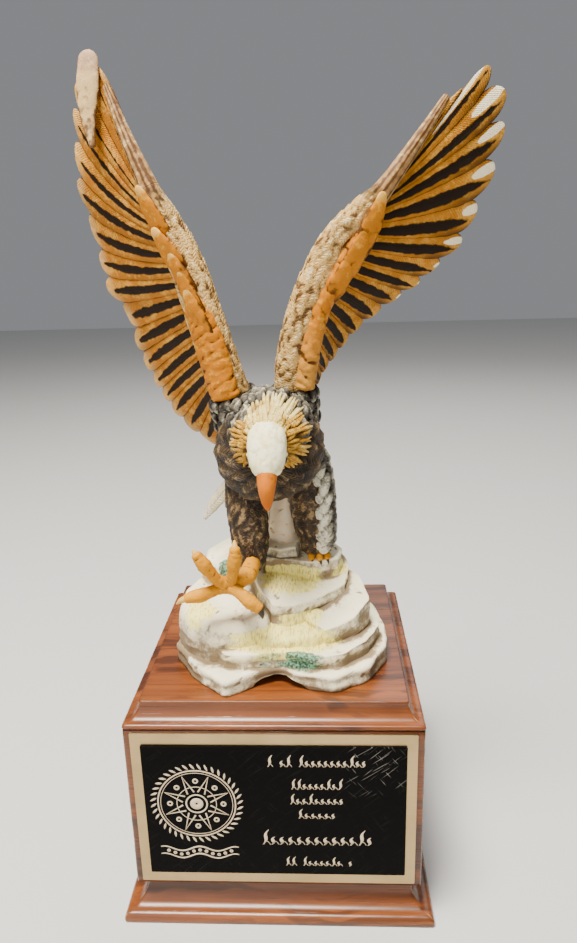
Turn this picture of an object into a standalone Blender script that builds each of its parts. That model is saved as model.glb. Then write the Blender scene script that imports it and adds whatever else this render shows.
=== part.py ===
"""Eagle trophy: a painted cast eagle landing on a stepped rock, on a walnut plinth with a name plate.

Metres, +Z up. The origin is the middle of the plinth's underside, and -Y is the front, where the plate is.
"""

import math

import bmesh
import bpy
import numpy as np
from mathutils import Matrix

# Plinth sizes
PLINTH_WIDTH = 0.1524
FIT_GAP = 0.0003
BASE_LIP_OUT = 0.0066
BASE_LIP_HEIGHT = 0.0055
BASE_COVE_RUN = 0.0122
BASE_THICKNESS = 0.0201
BOX_HEIGHT = 0.0947
BOX_INSET = 0.0003
TOP_THICKNESS = 0.0116
TOP_LIP_HEIGHT = 0.0028
TOP_COVE_RUN = 0.0079
LIP_ROUND = 0.0014
COVE_STEPS = 6
FLAT_ANGLE = math.radians(2.5)

# Name plate sizes
PLATE_SIDE_MARGIN = 0.0037
PLATE_TOP_MARGIN = 0.0008
PLATE_BOTTOM_MARGIN = 0.0026
GOLD_PLATE_THICKNESS = 0.0010
GOLD_SIDE_BORDER = 0.0053
GOLD_END_BORDER = 0.0066
BLACK_PLATE_THICKNESS = 0.0008

# Figure size. Every point of the carving below is in units of UNIT, which is 1 mm at this height.
FIGURE_HEIGHT = 0.3200
UNIT = FIGURE_HEIGHT / 320.0

# Heights worked out from the sizes above
BOX_WIDTH = PLINTH_WIDTH - 2 * BOX_INSET
BOX_BOTTOM = BASE_THICKNESS + FIT_GAP
BOX_TOP = BOX_BOTTOM + BOX_HEIGHT
TOP_BOTTOM = BOX_TOP + FIT_GAP
PLINTH_TOP = TOP_BOTTOM + TOP_THICKNESS
FIGURE_FOOT = PLINTH_TOP + FIT_GAP

# Colour, roughness and metallic value of each finish
FINISHES = {
    "walnut": ((0.27, 0.105, 0.043), 0.38, 0.0),
    "gold": ((0.62, 0.45, 0.25), 0.30, 0.9),
    "black": ((0.012, 0.010, 0.010), 0.22, 0.2),
    "resin": ((0.42, 0.36, 0.28), 0.55, 0.0),
    "feather": ((0.50, 0.24, 0.07), 0.50, 0.0),
}


def material(name):
    """The Principled material of that finish, made once."""
    made = bpy.data.materials.get(name)
    if made:
        return made
    colour, roughness, metallic = FINISHES[name]
    made = bpy.data.materials.new(name)
    made.use_nodes = True
    shader = made.node_tree.nodes["Principled BSDF"]
    shader.inputs["Base Color"].default_value = (*colour, 1.0)
    shader.inputs["Roughness"].default_value = roughness
    shader.inputs["Metallic"].default_value = metallic
    made.diffuse_color = (*colour, 1.0)
    return made


def add_object(name, points, faces, finish=None):
    """A mesh object from points in metres and faces, with its normals facing out."""
    mesh = bpy.data.meshes.new(name)
    mesh.from_pydata([tuple(p) for p in points], [], [tuple(f) for f in faces])
    bm = bmesh.new()
    bm.from_mesh(mesh)
    bmesh.ops.triangulate(bm, faces=bm.faces)
    bmesh.ops.recalc_face_normals(bm, faces=bm.faces)
    bm.to_mesh(mesh)
    bm.free()
    mesh.shade_smooth()
    mesh.set_sharp_from_angle(angle=math.radians(32))
    made = bpy.data.objects.new(name, mesh)
    bpy.context.scene.collection.objects.link(made)
    if finish:
        mesh.materials.append(material(finish))
    return made


def bridge(count, rings, closed=True):
    """Quads between rings of count points each, numbered one ring after another."""
    ends = count if closed else count - 1
    return [
        (count * k + i, count * k + (i + 1) % count, count * (k + 1) + (i + 1) % count, count * (k + 1) + i)
        for k in range(rings - 1)
        for i in range(ends)
    ]


# Plinth


def square_moulding(name, profile, finish):
    """A square board whose four sides follow profile, a list of (half width, height) from the underside up."""
    points = []
    for half, z in profile:
        points += [(-half, -half, z), (half, -half, z), (half, half, z), (-half, half, z)]
    faces = bridge(4, len(profile))
    last = len(points) - 4
    faces += [(3, 2, 1, 0), (last, last + 1, last + 2, last + 3)]
    return add_object(name, points, faces, finish)


def lipped_profile(half, low, lip_height, cove_run, high):
    """Points of a board's edge: an upright lip with a rounded top, then a hollow cove up to its top face."""
    lip_top = low + lip_height
    quarter = [math.pi / 2 * k / COVE_STEPS for k in range(COVE_STEPS + 1)]
    points = [(half, low)]
    points += [
        (half - LIP_ROUND * (1 - math.cos(a)), lip_top - LIP_ROUND * (1 - math.sin(a))) for a in quarter[::2]
    ]
    run, rise = cove_run - LIP_ROUND, high - lip_top
    points += [(half - LIP_ROUND - run * math.sin(a), lip_top + rise * (1 - math.cos(a))) for a in quarter[1:]]
    return points


def plinth():
    """The base board, the box and the top board."""
    base_half = PLINTH_WIDTH / 2 + BASE_LIP_OUT
    base = lipped_profile(base_half, 0.0, BASE_LIP_HEIGHT, BASE_COVE_RUN, BASE_THICKNESS)
    square_moulding("base_board", base, "walnut")
    square_moulding("plinth_box", [(BOX_WIDTH / 2, BOX_BOTTOM), (BOX_WIDTH / 2, BOX_TOP)], "walnut")
    top = lipped_profile(PLINTH_WIDTH / 2, TOP_BOTTOM, TOP_LIP_HEIGHT, TOP_COVE_RUN, PLINTH_TOP)
    square_moulding("top_board", top, "walnut")


def plate(name, width, low, high, back, thickness, finish):
    """A thin upright plate, centred across the box's front, from low to high, with its back face at y = back."""
    points = [
        (x, y, z) for z in (low, high) for y in (back, back - thickness) for x in (-width / 2, width / 2)
    ]
    faces = [(0, 1, 3, 2), (4, 5, 7, 6), (0, 1, 5, 4), (2, 3, 7, 6), (0, 2, 6, 4), (1, 3, 7, 5)]
    return add_object(name, points, faces, finish)


def name_plates():
    """The gold backing plate on the box, and the black plate on it."""
    width = BOX_WIDTH - 2 * PLATE_SIDE_MARGIN
    low, high = BOX_BOTTOM + PLATE_BOTTOM_MARGIN, BOX_TOP - PLATE_TOP_MARGIN
    gold_back = -BOX_WIDTH / 2 - FIT_GAP
    black_back = gold_back - GOLD_PLATE_THICKNESS - FIT_GAP
    plate("gold_plate", width, low, high, gold_back, GOLD_PLATE_THICKNESS, "gold")
    black_width = width - 2 * GOLD_SIDE_BORDER
    black_low, black_high = low + GOLD_END_BORDER, high - GOLD_END_BORDER
    plate("black_plate", black_width, black_low, black_high, black_back, BLACK_PLATE_THICKNESS, "black")


# Curves and frames for the carving


def spline(knots, t):
    """Catmull-Rom curve through knots, a list of equal-length tuples, at t from 0 to 1, and straight beyond."""
    table = np.asarray(knots, float)
    last = len(table) - 1
    place = t * last
    if place < 0:
        return table[0] + (table[1] - table[0]) * place
    if place > last:
        return table[last] + (table[last] - table[last - 1]) * (place - last)
    k = min(int(place), last - 1)
    f = place - k
    p1, p2 = table[k], table[k + 1]
    p0 = table[k - 1] if k > 0 else 2 * p1 - p2
    p3 = table[k + 2] if k + 2 <= last else 2 * p2 - p1
    return 0.5 * (2 * p1 + (p2 - p0) * f + (2 * p0 - 5 * p1 + 4 * p2 - p3) * f**2 + (3 * p1 - p0 - 3 * p2 + p3) * f**3)


def unit(v):
    """v at length 1."""
    return np.asarray(v, float) / max(np.linalg.norm(v), 1e-12)


def frame_at(knots, t, across, axis=None):
    """(centre, along, side, up) of a spine at t, with side as near to across as it can be square to along.

    along follows the spine, or is axis where one is given, so that short fat bodies keep parallel rings.
    """
    step = 0.01
    centre = spline(knots, t)[:3]
    along = unit(axis if axis is not None else spline(knots, t + step)[:3] - spline(knots, t - step)[:3])
    side = unit(np.asarray(across, float) - along * np.dot(across, along))
    return centre, along, side, np.cross(along, side)


def placed(point):
    """A point of the carving, in figure units, in metres from the middle of its foot."""
    x, y, z = point
    return (x * UNIT, y * UNIT, z * UNIT)


def shingled(name, knots, across, rows, tiles, lift, axis=None, per_tile=3, drop=0.5, grow=0.0):
    """A closed body along a spine of (x, y, z, half width, half depth), covered in rows of overlapping
    feathers whose hems stand lift above the row after them. Without lift it is smooth.
    """
    count = tiles * per_tile

    def ring(row, height, ahead):
        points = []
        for i in range(count):
            turn = 2 * math.pi * (i + 0.5) / count
            wave = math.cos(2 * math.pi * (i / per_tile + 0.5 * (row % 2))) if lift else 0.0
            inner = 0 < row < rows
            t = (row + (0.5 * drop * wave if inner else 0.0)) / rows
            centre, along, side, up = frame_at(knots, t, across, axis)
            values = spline(knots, t)
            raised = grow + height * (0.65 + 0.35 * wave)
            points.append(
                centre
                + side * (values[3] + raised) * math.cos(turn)
                + up * (values[4] + raised) * math.sin(turn)
                + along * ahead
            )
        return points

    rings = [ring(0, 0.0, 0.0)]
    for row in range(1, rows):
        rings.append(ring(row, lift, 0.0))
        if lift:
            rings.append(ring(row, 0.0, 0.35 * lift))
    rings.append(ring(rows, 0.0, 0.0))
    points = [placed(p) for r in rings for p in r]
    faces = bridge(count, len(rings))
    last = count * (len(rings) - 1)
    faces += [tuple(range(count))[::-1], tuple(range(last, last + count))]
    return add_object(name, points, faces)


def smooth_body(name, knots, across, rings, sides, grow=0.0, axis=None):
    """A closed plain body along a spine of (x, y, z, half width, half depth), swollen by grow."""
    return shingled(name, knots, across, rings, sides, 0.0, axis, per_tile=1, grow=grow)


# Places across a feather, from one edge to the other, and along it, from root to tip
LONG_FEATHER = (-0.96, -0.40, 0.36, 0.92), (0.0, 0.35, 0.78, 1.0)
SHORT_FEATHER = (-0.94, -0.1, 0.9), (0.0, 1.0)


def feather_fan(name, roots, tips, bow, facing, count, rise, thick, notch, places=LONG_FEATHER):
    """A row of count feathers side by side as one thin closed body, each rounded across and at its tip.

    roots and tips are curves along the fan, bow is how far its middle is bent, facing is the way its front
    looks, rise is the height of each feather's swell, thick is (at the root, at the tip), and notch is how
    far the gaps between feathers cut in, as (first, last).
    """
    across, rows = places
    columns = [(k, c) for k in range(count) for c in across]
    front, back = [], []
    for s in rows:
        for k, c in columns:
            u = (k + 0.5 * c) / (count - 1)
            share = min(max(u, 0.0), 1.0)
            cut = notch[0] + (notch[1] - notch[0]) * share
            length = s * (1 - cut * (1 - math.sqrt(1 - 0.98 * c * c)))
            root, tip = spline(roots, u), spline(tips, u)
            middle = (root + tip) / 2 + spline(bow, share)
            centre = root * (1 - length) ** 2 + middle * 2 * length * (1 - length) + tip * length**2
            along = unit(tip - root)
            face = unit(spline(facing, share))
            face = unit(face - along * np.dot(face, along))
            half = 0.5 * (thick[0] + (thick[1] - thick[0]) * s)
            swell = rise * (1 - c * c) * (0.3 + 0.7 * math.sin(math.pi * min(s, 0.75)))
            front.append(centre + face * (half + swell))
            back.append(centre + face * (0.5 * swell - half))
    width, height = len(columns), len(rows)
    faces = bridge(width, height, closed=False)
    faces += [tuple(v + width * height for v in face[::-1]) for face in faces]
    rim = list(range(width)) + [width * k + width - 1 for k in range(1, height)]
    rim += [width * (height - 1) + i for i in range(width - 2, -1, -1)] + [width * k for k in range(height - 2, 0, -1)]
    offset = width * height
    faces += [(a, b, b + offset, a + offset) for a, b in zip(rim, rim[1:] + rim[:1])]
    return add_object(name, [placed(p) for p in front + back], faces)


def skins_of(bm):
    """The separate skins of a mesh, each a list of its vertices."""
    skins, seen = [], set()
    for start in bm.verts:
        if start in seen:
            continue
        skin, stack = [], [start]
        seen.add(start)
        while stack:
            vert = stack.pop()
            skin.append(vert)
            fresh = [o for o in (e.other_vert(vert) for e in vert.link_edges) if o not in seen]
            seen.update(fresh)
            stack += fresh
        skins.append(skin)
    return skins


def fill_pockets(mesh):
    """Fills the sealed pockets left between overlapping feathers, as a casting has none."""
    bm = bmesh.new()
    bm.from_mesh(mesh)
    bmesh.ops.triangulate(bm, faces=bm.faces)
    for skin in skins_of(bm):
        faces = {face for vert in skin for face in vert.link_faces}
        volume = sum(a.co.dot(b.co.cross(c.co)) for a, b, c in (face.verts for face in faces))
        if volume < 0:
            bmesh.ops.delete(bm, geom=skin, context="VERTS")
    bm.to_mesh(mesh)
    bm.free()


def rest_flat(mesh):
    """Joins the faces that lie in one plane, so that a flat stays flat and whole."""
    bm = bmesh.new()
    bm.from_mesh(mesh)
    bmesh.ops.dissolve_limit(bm, angle_limit=FLAT_ANGLE, verts=bm.verts, edges=bm.edges)
    bmesh.ops.triangulate(bm, faces=bm.faces)
    bm.to_mesh(mesh)
    bm.free()


def combine(name, base, joined, cut, finish):
    """base united with the joined objects and cut by the others, as one mesh object on the plinth. The inputs
    are removed.
    """
    steps = [("UNION", o) for o in joined] + [("DIFFERENCE", o) for o in cut]
    for kind, other in steps:
        modifier = base.modifiers.new(kind.lower(), "BOOLEAN")
        modifier.operation = kind
        modifier.solver = "EXACT"
        modifier.object = other
    graph = bpy.context.evaluated_depsgraph_get()
    mesh = bpy.data.meshes.new_from_object(base.evaluated_get(graph))
    for _, other in steps:
        bpy.data.objects.remove(other)
    bpy.data.objects.remove(base)
    fill_pockets(mesh)
    rest_flat(mesh)
    mesh.transform(Matrix.Translation((0.0, 0.0, FIGURE_FOOT)))
    mesh.name = name
    mesh.materials.clear()
    mesh.materials.append(material(finish))
    made = bpy.data.objects.new(name, mesh)
    bpy.context.scene.collection.objects.link(made)
    return made


# The eagle's body. Spines hold (x, y, z, half width, half depth) in figure units.

SIDEWAYS = (1.0, 0.0, 0.0)
UPWARDS = (0.0, 0.0, 1.0)

BODY = [
    (-1.5, -33, 113, 13, 12),
    (-1.5, -25, 115, 24, 21),
    (-1.5, -10, 117, 27.5, 25),
    (-1.0, 10, 110, 25, 22),
    (-1.0, 28, 100, 19, 15),
    (-1.0, 44, 90, 13, 9),
    (-1.0, 56, 81, 9, 4.5),
]
BODY_AXIS = (0.0, 0.96, -0.28)
BODY_LIFT = 1.7
NECK = [
    (-1.0, -8, 134, 20, 16),
    (-0.5, -18, 131, 21, 18),
    (0.0, -28, 129, 20, 16.5),
    (0.0, -36, 127.5, 17, 13.5),
    (0.0, -42, 126.5, 8, 8),
]
NECK_AXIS = (0.0, -0.96, -0.28)
HEAD = [
    (-0.5, -22, 146, 5, 4.5),
    (-0.5, -31, 144, 8.6, 7.5),
    (-0.4, -39, 138, 10.2, 9.3),
    (-0.3, -45.5, 129, 10.6, 9.6),
    (-0.1, -49.5, 121, 10.0, 8.4),
    (0.0, -51.5, 115.5, 6.8, 6.2),
]
BEAK = [
    (0.0, -51, 121.5, 6.0, 6.0),
    (0.0, -55, 115.5, 5.0, 5.2),
    (0.0, -57.5, 108.5, 4.2, 4.2),
    (0.0, -57.5, 102, 3.2, 2.9),
    (0.0, -55.2, 97.5, 1.4, 1.2),
]
RAISED_LEG = [
    (-14.5, -3, 112, 9, 12),
    (-15.2, -11, 94, 9.6, 11.5),
    (-14.0, -17, 77, 9.0, 9.8),
    (-12.6, -20, 64, 7.8, 8.2),
    (-11.5, -22, 52, 4.6, 5.0),
]
STANDING_LEG = [
    (15.5, 0, 112, 10, 13),
    (19.5, -3, 94, 11.4, 12),
    (21.5, -4, 77, 10.8, 11),
    (22.5, -5, 65, 9.0, 9.2),
    (22.5, -6, 54, 5.6, 6.0),
]

# Wings, as the viewer sees them. A wing has the leading edge of its arm as (x, y, z, half width, half depth)
# from shoulder to tip, the way from that edge to the feathers as its chord, the shares of the arm's length
# where its flight feathers start, the curve that they end on, how far they bow, the way that they face, and
# where its shoulder starts.
LEFT_WING = {
    "edge": [
        (-12.5, -5.0, 146.5, 10.4, 7.6), (-17.5, -7.5, 163, 10.2, 7.2), (-23.5, -9, 184, 9.9, 6.8),
        (-31, -10, 209, 9.3, 6.2), (-39.5, -10, 228, 8.2, 5.4), (-50.5, -9, 246, 5.4, 4.4),
        (-64, -3, 272, 3.4, 3.2), (-75.5, 4, 297, 1.8, 1.8)],
    "chord": (-0.88, 0.42, -0.22),
    "roots": [0.74, 0.66, 0.54, 0.41, 0.30, 0.165, 0.01],
    "tips": [
        (-79.5, 7, 306), (-87, 12, 317), (-96, 17, 302), (-99.5, 20, 289), (-101.5, 23, 271.5), (-103, 26, 254),
        (-98.5, 28, 233), (-95.5, 29, 216), (-93, 30, 200), (-83, 30, 185), (-79.5, 30, 170), (-75, 30, 157.5),
        (-70, 30, 146.5), (-65, 30, 138), (-60, 30, 129.5), (-51.5, 30, 119.5), (-41, 29, 112)],
    "bow": [(1, 3, 1), (-6, 4, -6), (-4, 4, -6), (-1, 4, 0), (0, 4, 2), (0, 3, 2)],
    "facing": [(-0.50, -0.84, 0.15), (-0.50, -0.85, 0.12), (-0.45, -0.88, 0.05), (-0.45, -0.88, 0.0)],
    "shoulder": (-13, 3, 121, 14.5, 13),
}
RIGHT_WING = {
    "edge": [
        (3.0, -5.0, 148.0, 10.4, 7.6), (4.5, -6.5, 164, 10.2, 7.2), (9.5, -8, 184, 10.0, 6.8),
        (17, -9, 203, 9.6, 6.4), (27, -9, 220.5, 9.0, 5.6), (41, -8, 234.5, 7.4, 5.0),
        (54.5, -6, 246, 4.8, 4.2), (72, -1, 267, 3.2, 3.0), (87, 3.5, 286.5, 1.8, 1.8)],
    "chord": (0.88, 0.46, -0.12),
    "roots": [0.73, 0.66, 0.56, 0.46, 0.35, 0.23, 0.04],
    "tips": [
        (92, 5, 287), (108.5, 9, 300.5), (119.5, 13, 289.5), (121, 16, 273), (117, 19, 253), (108.5, 21, 233),
        (101, 22, 218), (88.5, 23, 206.5), (79, 24, 198), (68, 24, 191), (57, 25, 183), (47, 25, 175),
        (40, 25, 167.5), (34, 25, 160), (29, 25, 153.5), (25.5, 25, 147.5), (23, 25, 141)],
    "bow": [(0, 2, -1), (2, 3, -2), (3, 4, -4), (1, 4, 0), (1, 4, 1), (0, 3, 1)],
    "facing": [(0.36, -0.92, 0.12), (0.36, -0.92, 0.10), (0.40, -0.91, 0.05), (0.45, -0.88, 0.0)],
    "shoulder": (9, 3, 121, 14.5, 13),
}
FLIGHT_ROOT = 0.45
SHOULDER_SWELL = 0.8
SHOULDER_LIFT = 1.5
WING_CLEARANCE = 0.6


def arm_spine(wing):
    """The spine of a wing's arm, worked out from its leading edge."""
    step = unit(wing["chord"])
    return [(*(np.array(row[:3]) + step * row[3]), row[3], row[4]) for row in wing["edge"]]


def shoulder(name, wing, rows, sides, lift, grow=0.0):
    """The shoulder that a wing is glued to. It ends square to the wing's arm, a fit gap short of it."""
    arm = arm_spine(wing)
    centre, along, _, _ = frame_at(arm, 0.0, wing["chord"])
    half, deep = arm[0][3] + SHOULDER_SWELL, arm[0][4] + SHOULDER_SWELL
    start = np.array(wing["shoulder"], float)
    end = np.array([*(centre - along * FIT_GAP / UNIT), half, deep])
    middle = (start + end) / 2 + np.array([0, 0, 0, 0.6, 0.6])
    return shingled(name, [start, middle, end], wing["chord"], rows, sides, lift, along, per_tile=2, grow=grow)


def toe(name, points, radius, claw_points):
    """One toe, swollen at its root and knuckle, and its claw, as two objects."""
    knots = [(*p, radius * share, radius * share) for p, share in zip(points, (1.3, 0.95, 1.05, 0.85))]
    claw = [(*p, radius * share, radius * share) for p, share in zip(claw_points, (0.7, 0.5, 0.16))]
    lean = (0.6, 0.5, 0.62)
    return [smooth_body(name, knots, lean, 4, 7), smooth_body(name + "_claw", claw, lean, 2, 5)]


def raised_foot():
    """The open foot that reaches forward: four toes spread from the palm, and the shank behind it."""
    palm = (-22.0, -44, 52.0)
    shank = [(-11.8, -20, 58, 3.8, 3.8), (-11.8, -32, 57.5, 4.2, 4.2), (-13.5, -40.5, 56.0, 4.7, 4.7),
             (-20.5, -43.5, 52.5, 3.4, 3.4)]
    pieces = [smooth_body("shank", shank, UPWARDS, 5, 8)]
    pieces += toe("toe_out", [palm, (-28, -48, 57.5), (-33, -51, 66.0), (-36.8, -52, 72.5)], 3.0,
                  [(-36.2, -51.5, 71.5), (-39.0, -52, 75.0), (-41.5, -49, 75.0)])
    pieces += toe("toe_up", [palm, (-20.0, -47.5, 59), (-18.2, -50, 68), (-17.6, -50.5, 75)], 3.0,
                  [(-17.7, -50.5, 73.8), (-17.9, -48.5, 79), (-18.4, -44.5, 80.5)])
    pieces += toe("toe_down", [palm, (-17.0, -48.5, 50.5), (-11.0, -51.5, 46.4), (-6.4, -52, 43.0)], 3.1,
                  [(-7.0, -52, 43.5), (-5.2, -52, 40.0), (-5.2, -49.5, 36.2)])
    pieces += toe("toe_back", [palm, (-28.5, -46.5, 50.8), (-37.0, -49.5, 49.2), (-43.5, -50.5, 48.0)], 3.0,
                  [(-42.5, -50.5, 48.4), (-46.5, -50.5, 46.8), (-49.0, -49.8, 44.6)])
    return pieces


def standing_foot():
    """The foot that grips the rock, most of it under the leg's feathers."""
    heel = (23, -7, 56)
    pieces = []
    for index, (x, y) in enumerate([(15.5, -16.5), (22.5, -18.5), (30.5, -15.5)]):
        middle = ((heel[0] + x) / 2, (heel[1] + y) / 2, 58.5)
        pieces += toe("grip_%d" % index, [heel, middle, (x, y + 1.5, 56.0), (x, y - 1, 54.0)], 2.5,
                      [(x, y - 0.5, 54.2), (x * 1.03, y - 3.2, 51.5), (x * 1.04, y - 2.6, 48.5)])
    return pieces


# Tail: a fan of feathers behind the legs, from the eagle's right to its left
TAIL_ROOTS = [(-17, 37, 88), (-9, 45, 87), (-1, 47, 88), (5, 45, 87), (11, 38, 88)]
TAIL_TIPS = [(-46.5, 46, 56.5), (-31, 60, 41), (-6, 68, 32), (17, 63, 37), (27, 52, 52)]
TAIL_FACING = [(0.25, -0.78, 0.55), (0.1, -0.78, 0.62), (0.0, -0.78, 0.62), (-0.1, -0.78, 0.62), (-0.25, -0.78, 0.55)]
TAIL_COUNT = 7

# Rock slabs: underside, top, slope of the top along x and y, how far its edge is worn, and its outline
ROCK_SLABS = {
    # The lowest ledge, with two lobes in front and a bay between them
    "ledge": (0.0, 10.5, (0.0, 0.045), (2.6, 4.5), [
        (-24, -65.5), (-8, -55), (2, -50.5), (13, -57.5), (31, -61.5), (50, -50), (61, -30), (61.5, -8),
        (57, 16), (40, 43), (8, 53), (-28, 47), (-50, 26), (-57, -4), (-55.5, -28), (-42, -50)]),
    # The second step, whose front shows above the first
    "step": (5.0, 18.5, (0.0, 0.06), (1.6, 2.0), [
        (-30, -47), (-26, -52), (-8, -53), (4, -49.5), (20, -54.5), (36, -51.5), (50, -39), (57.5, -22),
        (50, 6), (34, 28), (4, 42), (-34, 34), (-48, 10), (-42, -30)]),
    # The boulder on the left, under the raised foot
    "boulder": (4.0, 33.5, (-0.02, 0.10), (6.0, 12.0), [
        (-47, -39), (-33, -47.5), (-15, -46), (-2, -41), (2, -24), (-8, 4), (-26, 20), (-46, 10),
        (-54.5, -10), (-54.5, -28)]),
    # The slab on the right that leans to the front
    "leaning_slab": (14.0, 36.5, (-0.02, 0.45), (1.6, 2.0), [
        (17, -35), (27, -43.5), (44, -35), (52, -23), (47, -8), (36, 1), (20, 2), (13, -12)]),
    # The thick shelf in the middle, with dry grass on it
    "shelf": (24.0, 44.5, (-0.03, 0.28), (1.8, 3.0), [
        (-6, -30), (-1, -36.5), (9, -38.5), (26, -30), (39, -19), (42, 0), (30, 20), (2, 26), (-14, 16),
        (-14, -10)]),
    # The block that the standing foot grips, and the column rises from
    "block": (36.0, 54.0, (0.0, 0.04), (2.2, 3.0), [
        (-6, -11), (6, -13.5), (22, -17.5), (35, -12), (37.5, 2), (28, 18), (4, 20), (-8, 8)]),
    # The low footing of the column
    "footing": (44.0, 59.5, (-0.02, 0.08), (1.5, 2.5), [
        (-6, -8), (2, -11.5), (12, -9), (14, 3), (4, 12), (-7, 6)]),
    # The rock behind the raised foot
    "back_rock": (18.0, 51.0, (0.26, 0.10), (3.0, 5.0), [
        (-44, 4), (-34, -8), (-20, -6), (-10, 6), (-14, 24), (-32, 28), (-44, 18)]),
    # The spill of rock behind
    "rear_step": (6.0, 29.0, (0.0, -0.34), (2.0, 3.0), [
        (-26, 8), (26, 8), (36, 26), (20, 42), (-6, 47), (-30, 38)]),
}
COLUMN = [
    (3.0, 5, 42, 12, 11),
    (3.2, 5, 57, 9.4, 9),
    (3.6, 4, 66, 7.6, 7.5),
    (4.6, 3, 78, 6.0, 6.5),
    (5.6, 2, 88, 4.6, 5.5),
    (6.0, 1, 99, 3.6, 5.0),
]

# The arch under the front of the ledge: its middle, and its half length, half depth and height
ARCH = (3.0, -54.0, (14.0, 16.0, 5.2))


def slab(name, low, high, slope, worn, outline):
    """A stone slab: outline from low to high, its top tilted by slope and its edge worn by (inset, drop)."""
    around = len(outline)
    middle = np.mean(outline, axis=0)
    points = []
    for inset, level in ((0.0, 0), (0.0, 1), (0.45, 2), (1.0, 3)):
        for x, y in outline:
            away = np.array([x, y], float) - middle
            place = middle + away * (1 - inset * worn[0] / np.linalg.norm(away))
            top = high + np.dot(slope, place - middle)
            fall = worn[1] * (0.0, 1.0, 0.3, 0.0)[level]
            points.append((place[0], place[1], low if level == 0 else max(top - fall, low + 0.5 * worn[1] + level)))
    faces = bridge(around, 4)
    points += [(middle[0], middle[1], low), (middle[0], middle[1], high)]
    for i in range(around):
        j = (i + 1) % around
        faces += [(j, i, 4 * around), (3 * around + i, 3 * around + j, 4 * around + 1)]
    return add_object(name, [placed(p) for p in points], faces)


def arch_cutter():
    """The shape of the hollow under the front of the ledge."""
    x, y, (half_length, half_depth, height) = ARCH
    knots = [(x - half_length, y, -1, 0.8, 0.8)]
    knots += [(x + half_length * f, y, -1, half_depth * d, height * d + 1) for f, d in ((-0.5, 0.8), (0, 1), (0.5, 0.8))]
    knots += [(x + half_length, y, -1, 0.8, 0.8)]
    return smooth_body("arch_cutter", knots, (0.0, 1.0, 0.0), 6, 12, axis=SIDEWAYS)


def figure():
    """The eagle and its rock, cast as one: everything but the wings."""
    body = shingled("body", BODY, SIDEWAYS, 6, 9, BODY_LIFT, BODY_AXIS, per_tile=2)
    pieces = [
        shoulder("left_shoulder", LEFT_WING, 3, 7, SHOULDER_LIFT),
        shoulder("right_shoulder", RIGHT_WING, 3, 7, SHOULDER_LIFT),
        shingled("neck", NECK, SIDEWAYS, 4, 9, 2.2, NECK_AXIS, per_tile=2, drop=0.7),
        smooth_body("head", HEAD, SIDEWAYS, 7, 14),
        smooth_body("beak", BEAK, SIDEWAYS, 5, 8),
        shingled("raised_leg", RAISED_LEG, SIDEWAYS, 5, 6, 1.6, per_tile=2),
        shingled("standing_leg", STANDING_LEG, SIDEWAYS, 5, 6, 1.7, per_tile=2),
        feather_fan("tail", TAIL_ROOTS, TAIL_TIPS, [(0, 3, -1)] * 2, TAIL_FACING, TAIL_COUNT, 1.0,
                    (3.4, 1.8), (0.22, 0.22)),
        smooth_body("column", COLUMN, SIDEWAYS, 6, 9),
    ]
    pieces += raised_foot() + standing_foot()
    pieces += [slab(name, *sizes) for name, sizes in ROCK_SLABS.items()]
    return combine("eagle_and_rock", body, pieces, [arch_cutter()], "resin")


def covert_row(name, arm, chord, front, count, span, inner, reach, out, rise):
    """A row of short feathers along an arm, on the side of it that front points to, over the flight feathers."""
    roots, tips = [], []
    for k in range(6):
        t = span[0] + (span[1] - span[0]) * k / 5
        centre, along, side, _ = frame_at(arm, t, chord)
        half, deep = spline(arm, t)[3:]
        face = unit(front - along * np.dot(front, along))
        roots.append(centre + side * half * inner + face * deep * 0.55)
        tips.append(centre + side * (half + reach) + face * out + along * reach * 0.4)
    return feather_fan(name, roots, tips, [front * 1.5] * 2, [front] * 2, count, rise, (3.4, 2.2), (0.30, 0.30),
                       SHORT_FEATHER)


def wing(name, sizes):
    """One wing, cast by itself: the arm, its flight feathers and its coverts, clear of the body."""
    arm, chord = arm_spine(sizes), sizes["chord"]
    front = unit(sizes["facing"][1])
    roots = []
    for t in sizes["roots"]:
        centre, _, side, _ = frame_at(arm, t, chord)
        roots.append(centre + side * spline(arm, t)[3] * FLIGHT_ROOT)
    flight = (roots, sizes["tips"], sizes["bow"], sizes["facing"], len(sizes["tips"]))
    pieces = [
        feather_fan(name + "_flight", *flight, 1.1, (3.6, 1.6), (0.20, 0.10)),
        covert_row(name + "_under", arm, chord, front, 11, (0.07, 0.70), -0.1, 2.5, 2.4, 1.0),
        covert_row(name + "_over", arm, chord, -front, 9, (0.07, 0.74), -0.2, 15.0, 1.6, 0.8),
    ]
    cutters = [
        smooth_body(name + "_body_room", BODY, SIDEWAYS, 6, 16, BODY_LIFT + WING_CLEARANCE, BODY_AXIS),
        shoulder(name + "_shoulder_room", sizes, 2, 7, 0.0, SHOULDER_LIFT + WING_CLEARANCE),
    ]
    return combine(name, smooth_body(name + "_arm", arm, chord, 8, 10), pieces, cutters, "feather")


def build():
    """Every piece of the trophy."""
    plinth()
    name_plates()
    figure()
    wing("left_wing", LEFT_WING)
    wing("right_wing", RIGHT_WING)


for old in list(bpy.data.objects):
    bpy.data.objects.remove(old)
build()
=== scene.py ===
"""Looks of a painted cast eagle landing on its rock, on a walnut plinth with a name plate."""

import logging
import math
from dataclasses import dataclass, field
from enum import Enum
from functools import cache

import bpy
import numpy as np
from mathutils import Matrix


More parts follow.
